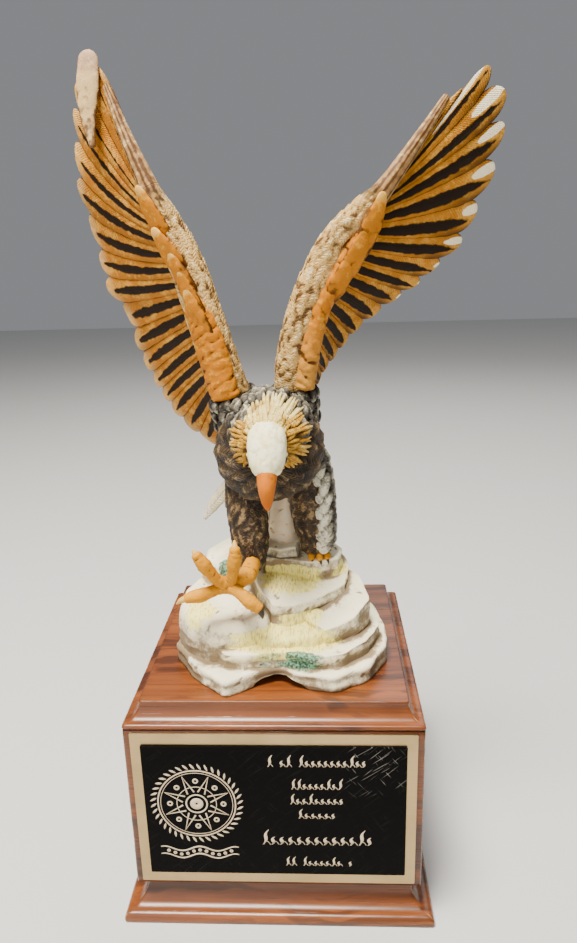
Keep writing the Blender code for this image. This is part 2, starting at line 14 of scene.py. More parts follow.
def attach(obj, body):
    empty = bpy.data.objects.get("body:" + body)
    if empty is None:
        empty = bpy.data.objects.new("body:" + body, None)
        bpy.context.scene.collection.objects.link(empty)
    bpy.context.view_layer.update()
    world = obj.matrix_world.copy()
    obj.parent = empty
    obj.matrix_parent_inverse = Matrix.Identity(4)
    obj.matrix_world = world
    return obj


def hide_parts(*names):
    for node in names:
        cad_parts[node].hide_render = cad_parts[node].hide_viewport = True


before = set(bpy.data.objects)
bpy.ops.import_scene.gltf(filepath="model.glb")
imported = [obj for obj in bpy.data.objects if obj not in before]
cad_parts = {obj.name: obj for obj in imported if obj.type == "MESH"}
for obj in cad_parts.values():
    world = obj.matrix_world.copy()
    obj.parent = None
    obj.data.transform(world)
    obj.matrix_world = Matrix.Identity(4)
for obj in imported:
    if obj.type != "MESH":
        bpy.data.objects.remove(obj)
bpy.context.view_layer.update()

log = logging.getLogger("trophy")

Colour = tuple[float, float, float]
Row = tuple[float, ...]
Names = tuple[str, ...]
Array = np.ndarray
Spine = list[Row] | tuple[Row, ...] | Array
Paint = bpy.types.Material
Node = bpy.types.Node
NodeTree = bpy.types.NodeTree
Socket = bpy.types.NodeSocket

UNIT = 0.001
FIGURE_FOOT = 0.1273
SIDEWAYS = (1.0, 0.0, 0.0)
UPWARDS = (0.0, 0.0, 1.0)


class Measure(Enum):
    """What a casting carries at each of its points, for its paint to follow."""

    REACH = "reach"
    SIDE = "side"
    CREST = "crest"
    TONE = "tone"
    BARB = "barb"
    BAR = "bar"
    PATCH = "patch"
    FRONT = "front"


# Sums over whole arrays of points


def whole_hash(seed: int, *cells: Array) -> Array:
    """Gives a fixed chance number to each cell of a grid.

    Args:
        seed: Sets one table of numbers apart from another.
        cells: Whole-number places of the cells, one array for each direction.

    Returns:
        Numbers from 0 to 1, the same on every run.
    """
    mixed = np.full(np.broadcast(*cells).shape, (seed * 7919 + 12345) % (1 << 32), np.uint64)
    for cell in cells:
        mixed = (mixed ^ (np.asarray(cell, np.int64).astype(np.uint64) & 0xFFFFFFFF)) * np.uint64(0x9E3779B1)
        mixed &= np.uint64(0xFFFFFFFF)
        mixed ^= mixed >> np.uint64(15)
        mixed = (mixed * np.uint64(0x85EBCA77)) & np.uint64(0xFFFFFFFF)
        mixed ^= mixed >> np.uint64(13)
    return mixed.astype(float) / float(1 << 32)


def cloud(points: Array, size: float, seed: int = 0) -> Array:
    """Smooth chance bumps in space.

    Args:
        points: Places, with x, y and z last.
        size: Width of one bump, in the unit of the places.
        seed: Sets one cloud apart from another.

    Returns:
        Values from -1 to 1.
    """
    place = np.asarray(points, float) / size
    base = np.floor(place)
    part = place - base
    part = part * part * (3 - 2 * part)
    total = np.zeros(place.shape[:-1])
    for corner in range(8):
        step = np.array([corner & 1, corner >> 1 & 1, corner >> 2 & 1])
        weight = np.prod(np.where(step, part, 1 - part), axis=-1)
        cell = base + step
        total += weight * whole_hash(seed, cell[..., 0], cell[..., 1], cell[..., 2])
    return 2 * total - 1


def clouds(points: Array, size: float, seed: int = 0, layers: int = 3) -> Array:
    """Several clouds over each other, each half as wide and half as strong as the last.

    Args:
        points: Places, with x, y and z last.
        size: Width of the widest bumps.
        seed: Sets one set apart from another.
        layers: How many clouds.

    Returns:
        Values from about -1 to 1.
    """
    parts = [cloud(points, size / 2**k, seed + k) / 2**k for k in range(layers)]
    return sum(parts) / sum(1 / 2**k for k in range(layers))


def smooth(low: float, high: float, value: Array) -> Array:
    """A soft step from 0 at low to 1 at high."""
    part = np.clip((np.asarray(value, float) - low) / (high - low), 0, 1)
    return part * part * (3 - 2 * part)


def spline(knots: Spine, t: Array | float) -> Array:
    """A smooth curve through knots.

    Args:
        knots: Rows of numbers that the curve passes through.
        t: Places along it, from 0 to 1, and straight beyond.

    Returns:
        One row of numbers for each t.
    """
    table = np.asarray(knots, float)
    last = len(table) - 1
    place = np.asarray(t, float) * last
    k = np.clip(np.floor(place).astype(int), 0, last - 1)
    f = np.clip(place - k, 0, 1)[..., None]
    p1, p2 = table[k], table[k + 1]
    p0 = np.where((k > 0)[..., None], table[np.maximum(k - 1, 0)], 2 * p1 - p2)
    p3 = np.where((k + 2 <= last)[..., None], table[np.minimum(k + 2, last)], 2 * p2 - p1)
    curve = 2 * p1 + (p2 - p0) * f + (2 * p0 - 5 * p1 + 4 * p2 - p3) * f**2 + (3 * p1 - p0 - 3 * p2 + p3) * f**3
    before = np.minimum(place, 0)[..., None] * (table[1] - table[0])
    after = np.maximum(place - last, 0)[..., None] * (table[last] - table[last - 1])
    return 0.5 * curve + before + after


def unit(v: Array | Row) -> Array:
    """v at length 1."""
    v = np.asarray(v, float)
    return v / np.maximum(np.linalg.norm(v, axis=-1, keepdims=True), 1e-12)


def dot(a: Array, b: Array) -> Array:
    """The product of two vectors, kept as a last axis of one."""
    return np.sum(a * b, axis=-1, keepdims=True)


def frames(
    knots: Spine, t: Array | float, across: Row, axis: Row | None = None
) -> tuple[Array, Array, Array, Array]:
    """Sets up a set of axes at places along a spine.

    Args:
        knots: Rows that start with x, y and z.
        t: Places along the spine.
        across: The way that the side axis leans to.
        axis: The way that the spine is taken to run, where its rings stay parallel.

    Returns:
        Centre, the way along, the side way and the way up, square to each other.
    """
    step = 0.01
    centre = spline(knots, t)[..., :3]
    if axis is None:
        along = unit(spline(knots, np.asarray(t) + step)[..., :3] - spline(knots, np.asarray(t) - step)[..., :3])
    else:
        along = np.broadcast_to(unit(axis), centre.shape)
    lean = np.broadcast_to(np.asarray(across, float), centre.shape)
    side = unit(lean - along * dot(along, lean))
    return centre, along, side, np.cross(along, side)


# The casting that gathers all skins of one piece


def chances(seed: int, k: int, count: int) -> list[float]:
    """The first chance numbers of one thing out of many."""
    return [float(v) for v in whole_hash(seed, np.arange(count), np.full(count, k))]


def in_figure(metres: Array) -> Array:
    """Places in metres, turned into the figure's own millimetres above its foot."""
    return (metres - np.array([0, 0, FIGURE_FOOT])) / UNIT


def part_way(values: Row, share: float) -> float:
    """The value at a share of the way through evenly spaced values."""
    return float(np.interp(share, np.linspace(0, 1, len(values)), values))


class Casting:
    """Gathers the skins of one cast piece, with the measures that its paint follows."""

    def __init__(self, name: str) -> None:
        """Starts an empty casting.

        Args:
            name: Name of the piece.
        """
        self.name, self.total = name, 0
        self.points: list[Array] = []
        self.faces: dict[str, list[Array]] = {"quads": [], "caps": []}
        self.slots: dict[str, list[Array]] = {"quads": [], "caps": []}
        self.paints: list[Paint] = []
        self.measures: dict[Measure, list[Array]] = {m: [] for m in Measure}

    def add(self, grid: Array, paint: Paint, measures: dict[Measure, Array]) -> None:
        """Adds one closed skin made of rings.

        Args:
            grid: Rings of points in figure units, as (rings, points, xyz).
            paint: Its material.
            measures: Values at its points, each one number or an array of (rings, points).
        """
        rings, count = grid.shape[:2]
        index = np.arange(rings * count).reshape(rings, count)
        after = np.roll(index, -1, axis=1)
        quads = np.stack([index[:-1], after[:-1], after[1:], index[1:]], axis=-1).reshape(-1, 4)
        points = np.concatenate([grid.reshape(-1, 3), np.stack([grid[0].mean(axis=0), grid[-1].mean(axis=0)])])
        start = np.stack([after[0], index[0], np.full(count, rings * count)], axis=-1)
        end = np.stack([index[-1], after[-1], np.full(count, rings * count + 1)], axis=-1)
        caps = np.concatenate([start, end])
        a, b, c, d = (points[quads[:, k]] - points.mean(axis=0) for k in range(4))
        if np.sum(np.cross(b, c) * a) + np.sum(np.cross(c, d) * a) < 0:
            quads, caps = quads[:, ::-1], caps[:, ::-1]
        if paint not in self.paints:
            self.paints.append(paint)
        slot = self.paints.index(paint)
        self.points.append(points)
        for kind, faces in (("quads", quads), ("caps", caps)):
            self.faces[kind].append(faces + self.total)
            self.slots[kind].append(np.full(len(faces), slot))
        for measure in Measure:
            value = np.broadcast_to(np.asarray(measures.get(measure, 0.0), float), (rings, count))
            self.measures[measure].append(np.concatenate([value.reshape(-1), [value[0].mean(), value[-1].mean()]]))
        self.total += len(points)

    def finish(self, node: str, slot: str) -> bpy.types.Object:
        """Makes the piece, and hides the solid that it replaces.

        Args:
            node: The solid that it replaces.
            slot: Not used.

        Returns:
            The piece.
        """
        points = np.concatenate(self.points) * UNIT + np.array([0.0, 0.0, FIGURE_FOOT])
        quads, caps = (np.concatenate(parts) for parts in self.faces.values())
        mesh = bpy.data.meshes.new(self.name)
        mesh.from_pydata(points.tolist(), [], quads.tolist() + caps.tolist())
        for paint in self.paints:
            mesh.materials.append(paint)
        paints = np.concatenate([*self.slots["quads"], *self.slots["caps"]])
        mesh.polygons.foreach_set("material_index", paints.astype(np.int32))
        mesh.polygons.foreach_set("use_smooth", np.ones(len(paints), bool))
        for measure, parts in self.measures.items():
            attribute = mesh.attributes.new(measure.value, "FLOAT", "POINT")
            attribute.data.foreach_set("value", np.concatenate(parts).astype(np.float32))
        mesh.update()
        piece = bpy.data.objects.new(self.name, mesh)
        bpy.context.scene.collection.objects.link(piece)
        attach(piece, "root")
        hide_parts(node)
        log.info("%s: %d triangles", self.name, 2 * len(quads) + len(caps))
        return piece


# Plumage carved over a body


@dataclass(frozen=True)
class Plumage:
    """A pattern of overlapping feathers.

    rows and columns are how many go along and around, length and width how much of a row and column one
    covers, lift its height at the tip in mm, point how blunt its tip is, ruffle how unequal they are, and
    backwards turns their tips to the start of the spine.
    """

    rows: float
    columns: int
    lift: float
    length: float = 1.7
    width: float = 1.18
    point: float = 2.2
    ruffle: float = 0.25
    crown: float = 0.35
    wave: float = 0.0
    backwards: bool = False
    seed: int = 1

    def laid(self, t: Array, turn: Array) -> dict[str, Array]:
        """Works out which feather lies on top at each place.

        Args:
            t: Place along the spine, from 0 to 1.
            turn: Place around it, from 0 to 1.

        Returns:
            Height from 0 to 1, reach along and side across the feather on top, and its tone.
        """
        along = (1 - t if self.backwards else t) * self.rows
        around = turn * self.columns + self.wave * np.sin(2.1 * along + 9.0 * turn)
        shape = np.broadcast(along, around).shape
        along, around = np.broadcast_to(along, shape), np.broadcast_to(around, shape)
        height = np.zeros(shape)
        reach, side, tone = np.zeros(shape), np.ones(shape), np.full(shape, 0.5)
        for back in range(int(math.ceil(self.length + self.ruffle)) + 1):
            row = np.floor(along) - back
            shift = 0.5 * np.mod(row, 2)
            for step in (-1, 0, 1):
                column = np.floor(around - shift) + step
                cell = np.mod(column, self.columns)
                early = whole_hash(self.seed, row, cell)
                aside = whole_hash(self.seed + 31, row, cell) - 0.5
                a = (along - row - self.ruffle * early) / self.length
                b = (around - shift - column - 0.5 - 0.6 * self.ruffle * aside) / (0.5 * self.width)
                half = np.clip(1 - np.clip(a, 0, 1) ** self.point, 0, 1) ** (1 / self.point)
                inside = (a > 0) & (a < 1) & (np.abs(b) < half)
                rise = (0.30 + 0.70 * a) * (1 - self.crown * (b / np.maximum(half, 1e-6)) ** 2)
                rise *= 0.85 + 0.15 * whole_hash(self.seed + 77, row, cell)
                better = inside & (rise > height)
                height = np.where(better, rise, height)
                reach, side = np.where(better, a, reach), np.where(better, b, side)
                tone = np.where(better, whole_hash(self.seed + 53, row, cell), tone)
        return {"height": height, "reach": reach, "side": side, "tone": tone}


@dataclass(frozen=True)
class Limb:
    """A rounded part of the figure along a spine of (x, y, z, half width, half depth)."""

    knots: Spine
    plumage: Plumage | None = None
    rings: int = 60
    around: int = 72
    domes: Row = (2.0, 2.0)
    across: Row = SIDEWAYS
    axis: Row | None = None
    grow: float = 0.0
    fade: Row = (0.04, 0.04)
    plain_from: float = 2.0
    steps: int = 5
    flat: bool = False

    def carve(
        self, casting: Casting, paint: Paint, relief: float = 0.15, scutes: float = 0.0,
        depth: float = 0.35, slant: float = 0.0,
    ) -> None:
        """Adds the part to a casting.

        Args:
            casting: Its casting.
            paint: Its material.
            relief: Height of its chance unevenness, in mm.
            scutes: How many ridges run round it, as on a bird's toe.
            depth: How deep the lines between them are, in mm.
            slant: How far they lean along the part, in ridges.
        """
        arc = np.linspace(0.12, math.pi / 2, self.steps)[:-1]
        t = np.concatenate([np.zeros(len(arc)), np.linspace(0, 1, self.rings), np.ones(len(arc))])
        size = np.concatenate([np.sin(arc), np.ones(self.rings), np.sin(arc[::-1])])
        low, high = self.domes
        shift = np.concatenate([-low * np.cos(arc), np.zeros(self.rings), high * np.cos(arc[::-1])])
        turn = (np.arange(self.around) + 0.5) / self.around
        centre, along, side, up = (v[:, None, :] for v in frames(self.knots, t, self.across, self.axis))
        values = spline(self.knots, t)
        half, deep = values[:, 3][:, None, None], values[:, 4][:, None, None]
        cos, sin = np.cos(2 * math.pi * turn)[None, :, None], np.sin(2 * math.pi * turn)[None, :, None]
        outward = unit(side * cos * deep + up * sin * half)
        edge = (side * cos * (half + self.grow) + up * sin * (deep + self.grow)) * size[:, None, None]
        grid = centre + edge + along * shift[:, None, None]
        plain = smooth(self.plain_from, self.plain_from + 0.08, t)
        ends = smooth(0, self.fade[0], t) * smooth(0, self.fade[1], 1 - t) * (1 - 0.85 * plain)
        soft = (ends * size)[:, None]
        laid = {"height": np.full(grid.shape[:2], 0.5), "reach": t[:, None],
                "side": (cos if self.flat else sin)[..., 0], "tone": 0.5}
        height = 0.0
        if self.plumage:
            laid = self.plumage.laid(t[:, None], turn[None, :])
            wire = np.exp(-((laid["side"] / 0.16) ** 2)) * 0.12
            height = (laid["height"] + wire) * self.plumage.lift * soft
        rough = clouds(grid, 2.6, 5) * relief * np.minimum(size, 1)[:, None]
        if scutes:
            bend = 0.9 * clouds(grid, 9.0, 33) + slant * np.cos(2 * math.pi * turn)[None, :]
            ridge = np.abs(np.sin(math.pi * (scutes * t[:, None] + bend))) ** 0.5
            faint = np.clip(0.60 + 1.3 * clouds(grid, 6.0, 44), 0.15, 1)
            rough = rough + depth * (1 - (1 - ridge) * faint) * size[:, None]
            laid["height"] = 0.80 - 0.75 * (1 - ridge) * faint
        grid = grid + outward * (np.asarray(height) + rough)[..., None]
        if self.flat:
            root = np.clip(t, 0, 1)[:, None] ** 0.8
            laid["height"] = 0.34 + 0.50 * root - 0.34 * (np.abs(cos) ** 7)[..., 0]
        still = plain[:, None]
        if self.plumage and self.plain_from < 1:
            groove = 0.0
            for place, width in ((0.30, 0.024), (0.17, 0.016), (0.40, 0.034), (0.70, 0.024), (0.83, 0.016),
                                 (0.60, 0.034)):
                groove = groove + np.exp(-(((turn - place) / width) ** 2))
            laid["height"] = laid["height"] + (0.66 - 0.5 * groove[None, :] - laid["height"]) * still
            laid["reach"] = laid["reach"] * (1 - still) + still
            laid["side"] = laid["side"] * (1 - still) + 0.7 * still
        mottle = 0.22 * clouds(grid, 5.0, 15) + 0.26 * cloud(grid, 1.7, 18)
        laid["height"] = np.clip(laid["height"] + mottle, 0, 1)
        span = np.linalg.norm(np.diff(spline(self.knots, t)[:, :3], axis=0), axis=1).sum()
        barb = (0.6 * t[:, None] * span + np.abs(laid["side"]) * 1.6) * (1 - still)
        casting.add(grid, paint, {
            Measure.REACH: laid["reach"], Measure.SIDE: laid["side"], Measure.CREST: laid["height"],
            Measure.TONE: laid["tone"], Measure.BARB: barb, Measure.FRONT: 1.0, Measure.BAR: t[:, None],
        })


@dataclass(frozen=True)
class Lock:
    """A small flat leaf or lock of feathers: half its width, half its thickness, how wide it ends, its bend."""

    half: float
    thick: float
    tip: float = 0.4
    wave: float = 0.0
    rise: float = 0.0
    relief: float = 0.2
    rings: int = 8
    around: int = 9

    def carve(
        self, casting: Casting, paint: Paint, start: Row | Array, stop: Row | Array,
        face: Row | Array, chance: float = 0.0,
    ) -> None:
        """Adds the leaf to a casting.

        Args:
            casting: Its casting.
            paint: Its material.
            start: Where its root is.
            stop: Where its tip is.
            face: The way that its front looks.
            chance: A chance number for its bend.
        """
        start, stop, face = np.array(start, float), np.array(stop, float), np.array(face, float)
        along = unit(stop - start)
        face = unit(face - along * float(np.dot(face, along)))
        across = np.cross(face, along)
        knots = []
        for f, wide in ((0.0, 0.74), (0.3, 1.0), (0.68, 0.88), (1.0, self.tip)):
            bend = self.wave * math.sin(5.5 * f + 6.3 * chance)
            place = start + (stop - start) * f + face * self.rise * math.sin(math.pi * f) + across * bend
            knots.append((*place, self.half * wide, self.thick * (0.45 + 0.55 * wide)))
        Limb(knots, None, self.rings, self.around, (0.4, self.half * self.tip * 1.1), tuple(across), steps=4,
             flat=True).carve(casting, paint, self.relief)


def on_skin(
    knots: Spine, t: float, angle: float, grow: float, across: Row = SIDEWAYS, axis: Row | None = None
) -> tuple[Array, Array]:
    """A place on the skin of a limb.

    Args:
        knots: The limb's spine.
        t: The place along it.
        angle: Degrees round it from the side that looks up and forwards.
        grow: Height over the skin.
        across: The way that its side axis leans to.
        axis: The way that its spine is taken to run.

    Returns:
        The place, and the way that the skin looks there.
    """
    centre, _, side, up = frames(knots, t, across, axis)
    half, deep = spline(knots, t)[3:5]
    if float(np.dot(up, (0.0, -0.8, 0.6))) < 0:
        up = -up
    sin, cos = math.sin(math.radians(angle)), math.cos(math.radians(angle))
    place = centre + side * sin * (half + grow) + up * cos * (deep + grow)
    return place, unit(side * sin * deep + up * cos * half)


@dataclass(frozen=True)
class Fan:
    """A row of long feathers side by side, each with its own rounded tip.

    roots and tips are curves along the fan, bow how far its middle is bent, facing the way its front looks,
    rise each feather's swell, thick its thickness at root and tip, notch how far the gaps cut in, lap how
    much each covers of the next, and bars and patches the painted marks of each feather.
    """

    roots: Spine
    tips: Spine
    bow: list[Row]
    facing: list[Row]
    count: int
    rise: float
    thick: Row
    notch: Row
    lap: float = 0.14
    bars: Row = (0.0,)
    patches: Row = (0.0,)
    rings: int = 56
    front: int = 17
    wrinkles: float = 0.0
    lean: float = 0.5
    bar_tip: float = 0.95
    seed: int = 3

    def carve(self, casting: Casting, paint: Paint) -> None:
        """Adds each feather of the fan to a casting.

        Args:
            casting: Its casting.
            paint: Its material.
        """
        s = np.sin(np.linspace(0, math.pi / 2, self.rings)) ** 1.15
        s[-1] = 0.9995
        front = np.linspace(-1, 1, self.front)
        front = np.sign(front) * np.abs(front) ** 0.85
        back = front[::-2][1:-1]
        c = np.concatenate([front, back])
        is_front = np.concatenate([np.ones(len(front)), np.zeros(len(back))])
        for k in range(self.count):
            self._feather(casting, paint, k, s[:, None], c[None, :], is_front[None, :])

    def _feather(
        self, casting: Casting, paint: Paint, k: int, s: Array, c: Array, front: Array
    ) -> None:
        """Adds one feather.

        Args:
            casting: Its casting.
            paint: Its material.
            k: Its number in the fan.
            s: Places along it, as a column.
            c: Places across it, as a row, first over the front and then over the back.
            front: 1 on the front and 0 on the back.
        """
        share = k / (self.count - 1)
        chance = chances(self.seed, k, 4)
        cut = (self.notch[0] + (self.notch[1] - self.notch[0]) * share) * (0.9 + 0.3 * chance[0])
        start = 1 - 1.25 * cut
        tip_part = np.clip((s - start) / (1 - start), 0, 1)
        narrow = np.sqrt(np.maximum(1 - tip_part**2.1, 0.0))
        edge_wave = 1 - 0.035 * np.abs(np.sin(23 * s + 9 * chance[1])) * smooth(0.3, 0.6, s)
        across = c * narrow * edge_wave
        u = (k + 0.5 * (1 + self.lap) * across + self.lean * 0.04 * (tip_part**2)) / (self.count - 1)
        shared = np.clip(u, 0, 1)
        root, tip = spline(self.roots, u), spline(self.tips, u)
        middle = (root + tip) / 2 + spline(self.bow, shared)
        f = s[..., None]
        centre = root * (1 - f) ** 2 + middle * 2 * f * (1 - f) + tip * f**2
        along = unit(tip - root)
        face = unit(spline(self.facing, shared))
        face = unit(face - along * dot(face, along))
        half = 0.5 * (self.thick[0] + (self.thick[1] - self.thick[0]) * s) * (0.25 + 0.75 * narrow)
        body = 0.35 + 0.65 * np.sin(math.pi * np.minimum(s, 0.72))
        swell = self.rise * (1 - np.abs(c) ** 2.4) * body * narrow
        quill = 0.38 * np.exp(-((across / 0.085) ** 2)) * (1 - 0.6 * s) * narrow
        groove = -0.16 * np.exp(-(((np.abs(across) - 0.16) / 0.07) ** 2)) * narrow
        tilt = 0.55 * self.rise * across
        fold = self.wrinkles * np.sin(2 * math.pi * (5.2 * s + 1.3 * chance[2]) + 2.2 * c)
        fold = fold * np.sin(math.pi * np.clip(s, 0, 1)) * (0.4 + 0.6 * narrow)
        rough = 0.16 * clouds(centre, 3.0, 9)
        behind = -half + 0.5 * swell - quill * 0.6 + rough
        lift = np.where(front > 0, half + swell + quill + groove + fold + rough, behind) + tilt
        grid = centre + face * lift[..., None]
        length = float(np.linalg.norm(tip - root, axis=-1).mean())
        width = length * 0.12
        barb = s * length * 0.80 + np.abs(across) * width
        crest = 0.62 + 0.25 * (1 - np.abs(c) ** 3) + 0.35 * clouds(centre, 6.0, 21) + fold * 0.5
        crest = crest - 0.42 * smooth(0.88, 1.0, np.abs(c)) * (narrow > 0.35) - 0.35 * smooth(0.12, 0.0, s)
        bar = part_way(self.bars, share) * (1 - 0.97 * np.minimum(s / self.bar_tip, 1) ** 5.5)
        casting.add(grid, paint, {
            Measure.REACH: s, Measure.SIDE: across, Measure.CREST: np.clip(crest, 0, 1), Measure.TONE: chance[3],
            Measure.BARB: barb, Measure.BAR: bar * (0.8 + 0.2 * smooth(0, 0.3, s)),
            Measure.PATCH: part_way(self.patches, share), Measure.FRONT: front,
        })


# Paint and other finishes


class Signal:
    """A value that changes over a surface, with the usual sums."""

    def __init__(self, tree: "Tree", socket: Socket) -> None:
        """Takes the socket that gives the value, and its tree."""
        self.tree, self.socket = tree, socket

    def __add__(self, other: object) -> "Signal":
        """The sum with another value."""
        return self.tree.math("ADD", self, other)

    def __sub__(self, other: object) -> "Signal":
        """What another value leaves of it."""
        return self.tree.math("SUBTRACT", self, other)

    def __rsub__(self, other: object) -> "Signal":
        """What it leaves of another value."""
        return self.tree.math("SUBTRACT", other, self)

    def __mul__(self, other: object) -> "Signal":
        """The product with another value."""
        return self.tree.math("MULTIPLY", self, other)

    def __truediv__(self, other: object) -> "Signal":
        """Its share of another value."""
        return self.tree.math("DIVIDE", self, other)

    def __abs__(self) -> "Signal":
        """Its size without its sign."""
        return self.tree.math("ABSOLUTE", self)


class Tree:
    """Adds and joins the nodes of one material or node group."""

    def __init__(self, tree: NodeTree) -> None:
        """Takes the node tree that is built."""
        self.tree = tree

    def node(self, kind: str, inputs: dict[str | int, object] | None = None, **settings: object) -> Node:
        """Adds a node.

        Args:
            kind: Its type, without the words that all shader node types start with.
            inputs: A value or a signal for each named or numbered input.
            settings: Its own settings.

        Returns:
            The node.
        """
        made = self.tree.nodes.new("ShaderNode" + kind)
        for name, value in settings.items():
            setattr(made, name, value)
        for name, value in (inputs or {}).items():
            self.set(made.inputs[name], value)
        return made

    def set(self, socket: Socket, value: object) -> None:
        """Gives a socket a value, or joins a signal to it.

        Args:
            socket: The socket.
            value: A number, a colour or other row of numbers, a signal or an output socket.
        """
        value = value.socket if isinstance(value, Signal) else value
        if isinstance(value, Socket):
            self.tree.links.new(value, socket)
        elif isinstance(value, tuple) and socket.type == "RGBA":
            socket.default_value = (*value, 1.0)
        else:
            socket.default_value = value

    def math(self, operation: str, a: object, b: object = 0.0, c: object = 0.5, clamp: bool = False) -> Signal:
        """A sum of up to three values."""
        return Signal(self, self.node("Math", {0: a, 1: b, 2: c}, operation=operation, use_clamp=clamp).outputs[0])

    def step(self, value: object, low: object, high: object) -> Signal:
        """A soft step of a value from 0 at low to 1 at high."""
        made = self.node("MapRange", {0: value, 1: low, 2: high, 3: 0.0, 4: 1.0}, interpolation_type="SMOOTHSTEP")
        return Signal(self, made.outputs[0])

    def mix(self, share: object, a: object, b: object, blend: str = "MIX") -> Signal:
        """A colour between two colours."""
        made = self.node("Mix", {0: share, 6: a, 7: b}, data_type="RGBA", blend_type=blend)
        return Signal(self, made.outputs[2])

    def shaded(self, colour: object, value: object) -> Signal:
        """A colour made darker or lighter."""
        return Signal(self, self.node("HueSaturation", {"Color": colour, "Value": value}).outputs[0])

    def noise(self, place: object, scale: float, detail: float = 3.0, roughness: float = 0.55) -> Signal:
        """Chance values from 0 to 1 over a place."""
        made = self.node("TexNoise", {"Vector": place, "Scale": scale, "Detail": detail, "Roughness": roughness})
        return Signal(self, made.outputs["Fac"])

    def measure(self, measure: Measure) -> Signal:
        """A measure that the casting carries."""
        return Signal(self, self.node("Attribute", attribute_name=measure.value).outputs["Fac"])

    def place(self) -> Signal:
        """The place on the object, in metres."""
        return Signal(self, self.node("TexCoord").outputs["Object"])

    def stretched(self, place: object, *scale: float) -> Signal:
        """A place with x, y and z scaled each by its own number."""
        return Signal(self, self.node("Mapping", {"Vector": place, "Scale": scale}).outputs[0])

    def group(self, group: NodeTree, inputs: dict[str, object]) -> dict[str, Signal]:
        """Places a shared effect.

        Args:
            group: Its node group.
            inputs: A value or signal for each of its inputs.

        Returns:
            Its outputs by name.
        """
        made = self.tree.nodes.new("ShaderNodeGroup")
        made.node_tree = group
        for name, value in inputs.items():
            self.set(made.inputs[name], value)
        return {output.name: Signal(self, output) for output in made.outputs}


class Effect(Tree):
    """A node group under work, for an effect that several finishes share."""

    def __init__(self, name: str, inputs: dict[str, Names], outputs: dict[str, Names]) -> None:
        """Starts a group.

        Args:
            name: Its name.
            inputs: Names of its inputs, by socket type without its first words.
            outputs: Names of its outputs, in the same way.
        """
        super().__init__(bpy.data.node_groups.new(name, "ShaderNodeTree"))
        for side, sockets in (("INPUT", inputs), ("OUTPUT", outputs)):
            for kind, labels in sockets.items():
                for label in labels:
                    self.tree.interface.new_socket(label, in_out=side, socket_type="NodeSocket" + kind)
        entry, self.leave = self.tree.nodes.new("NodeGroupInput"), self.tree.nodes.new("NodeGroupOutput")
        self.given = [Signal(self, entry.outputs[label]) for labels in inputs.values() for label in labels]

    def give(self, results: dict[str, Signal]) -> NodeTree:
        """Joins the outputs and ends the group.

        Args:
            results: A signal for each output.

        Returns:
            The group.
        """
        for label, value in results.items():
            self.set(self.leave.inputs[label], value)
        return self.tree


@cache
def brushed_paint() -> NodeTree:
    """Base paint with a dark wash in the hollows and a dry-brushed light coat on the crests; where the relief holds
    painted shade, as on the stone, the wash paints that shade.

    Returns:
        The node group.
    """
    tree = Effect(
        "Washed and dry-brushed paint",
        {"Vector": ("Place",), "Float": ("Relief", "Tone", "Wash level", "Light level"),
         "Color": ("Base", "Wash", "Light")},
        {"Color": ("Colour",), "Float": ("Roughness", "Height")},
    )
    place, relief, tone, wash_level, light_level, base, wash, light = tree.given
    broad, fine = tree.noise(place, 55.0, 4.0, 0.6), tree.noise(place, 420.0, 4.0, 0.65)
    streak = tree.noise(place, 900.0, 2.0, 0.7)
    tinted = tree.shaded(base, tree.math("MULTIPLY_ADD", broad - 0.5, 0.55, 1.0))
    tinted = tree.shaded(tinted, tree.math("MULTIPLY_ADD", tone - 0.5, 0.34, 1.0))
    ragged = relief + (fine - 0.5) * 0.55
    hollow = 1 - tree.step(ragged, wash_level - 0.16, wash_level + 0.16)
    crest = tree.step(ragged + (streak - 0.5) * 0.7, light_level - 0.10, light_level + 0.22)
    return tree.give({
        "Colour": tree.mix(crest * 0.85, tree.mix(hollow * 0.92, tinted, wash), light),
        "Roughness": tree.math("MULTIPLY_ADD", broad, 0.30, 0.42),
        "Height": fine * 0.6 + streak * 0.4,
    })


@cache
def barbs() -> NodeTree:
    """Fine slanted lines of a feather's vane on both sides of its quill.

    Returns:
        The node group.
    """
    tree = Effect("Feather barbs", {"Vector": ("Place",), "Float": ("Barb", "Side", "Pitch")},
                  {"Float": ("Line", "Height")})
    place, barb, side, pitch = tree.given
    drift = (tree.noise(place, 160.0, 2.0) - 0.5) * 5.0
    wave = tree.math("MULTIPLY_ADD", tree.math("SINE", barb / pitch * (2 * math.pi) + drift), 0.5, 0.5)
    away = tree.step(abs(side), 0.04, 0.14)
    patchy = tree.step(tree.noise(place, 240.0, 2.0), 0.30, 0.62)
    return tree.give({"Line": tree.math("POWER", wave, 1.6) * away * patchy, "Height": wave * away})


@cache
def painted_bar() -> NodeTree:
    """A brush stroke along the middle of a feather.

    Returns:
        The node group.
    """
    tree = Effect(
        "Painted bar", {"Vector": ("Place",), "Float": ("Reach", "Side", "Half width", "Start", "End", "Offset")},
        {"Float": ("Mask",)},
    )
    place, reach, side, half, start, end, offset = tree.given
    ragged = (tree.noise(place, 230.0, 4.0) - 0.5) * 0.42
    away = abs(side - offset) + ragged
    across = 1 - tree.step(away, half - 0.07, half + 0.07)
    late = reach + ragged * 0.35 + away * 0.10
    before = 1 - tree.step(late, end - 0.03, end)
    return tree.give({"Mask": across * (tree.step(late, start, start + 0.04) * before)})


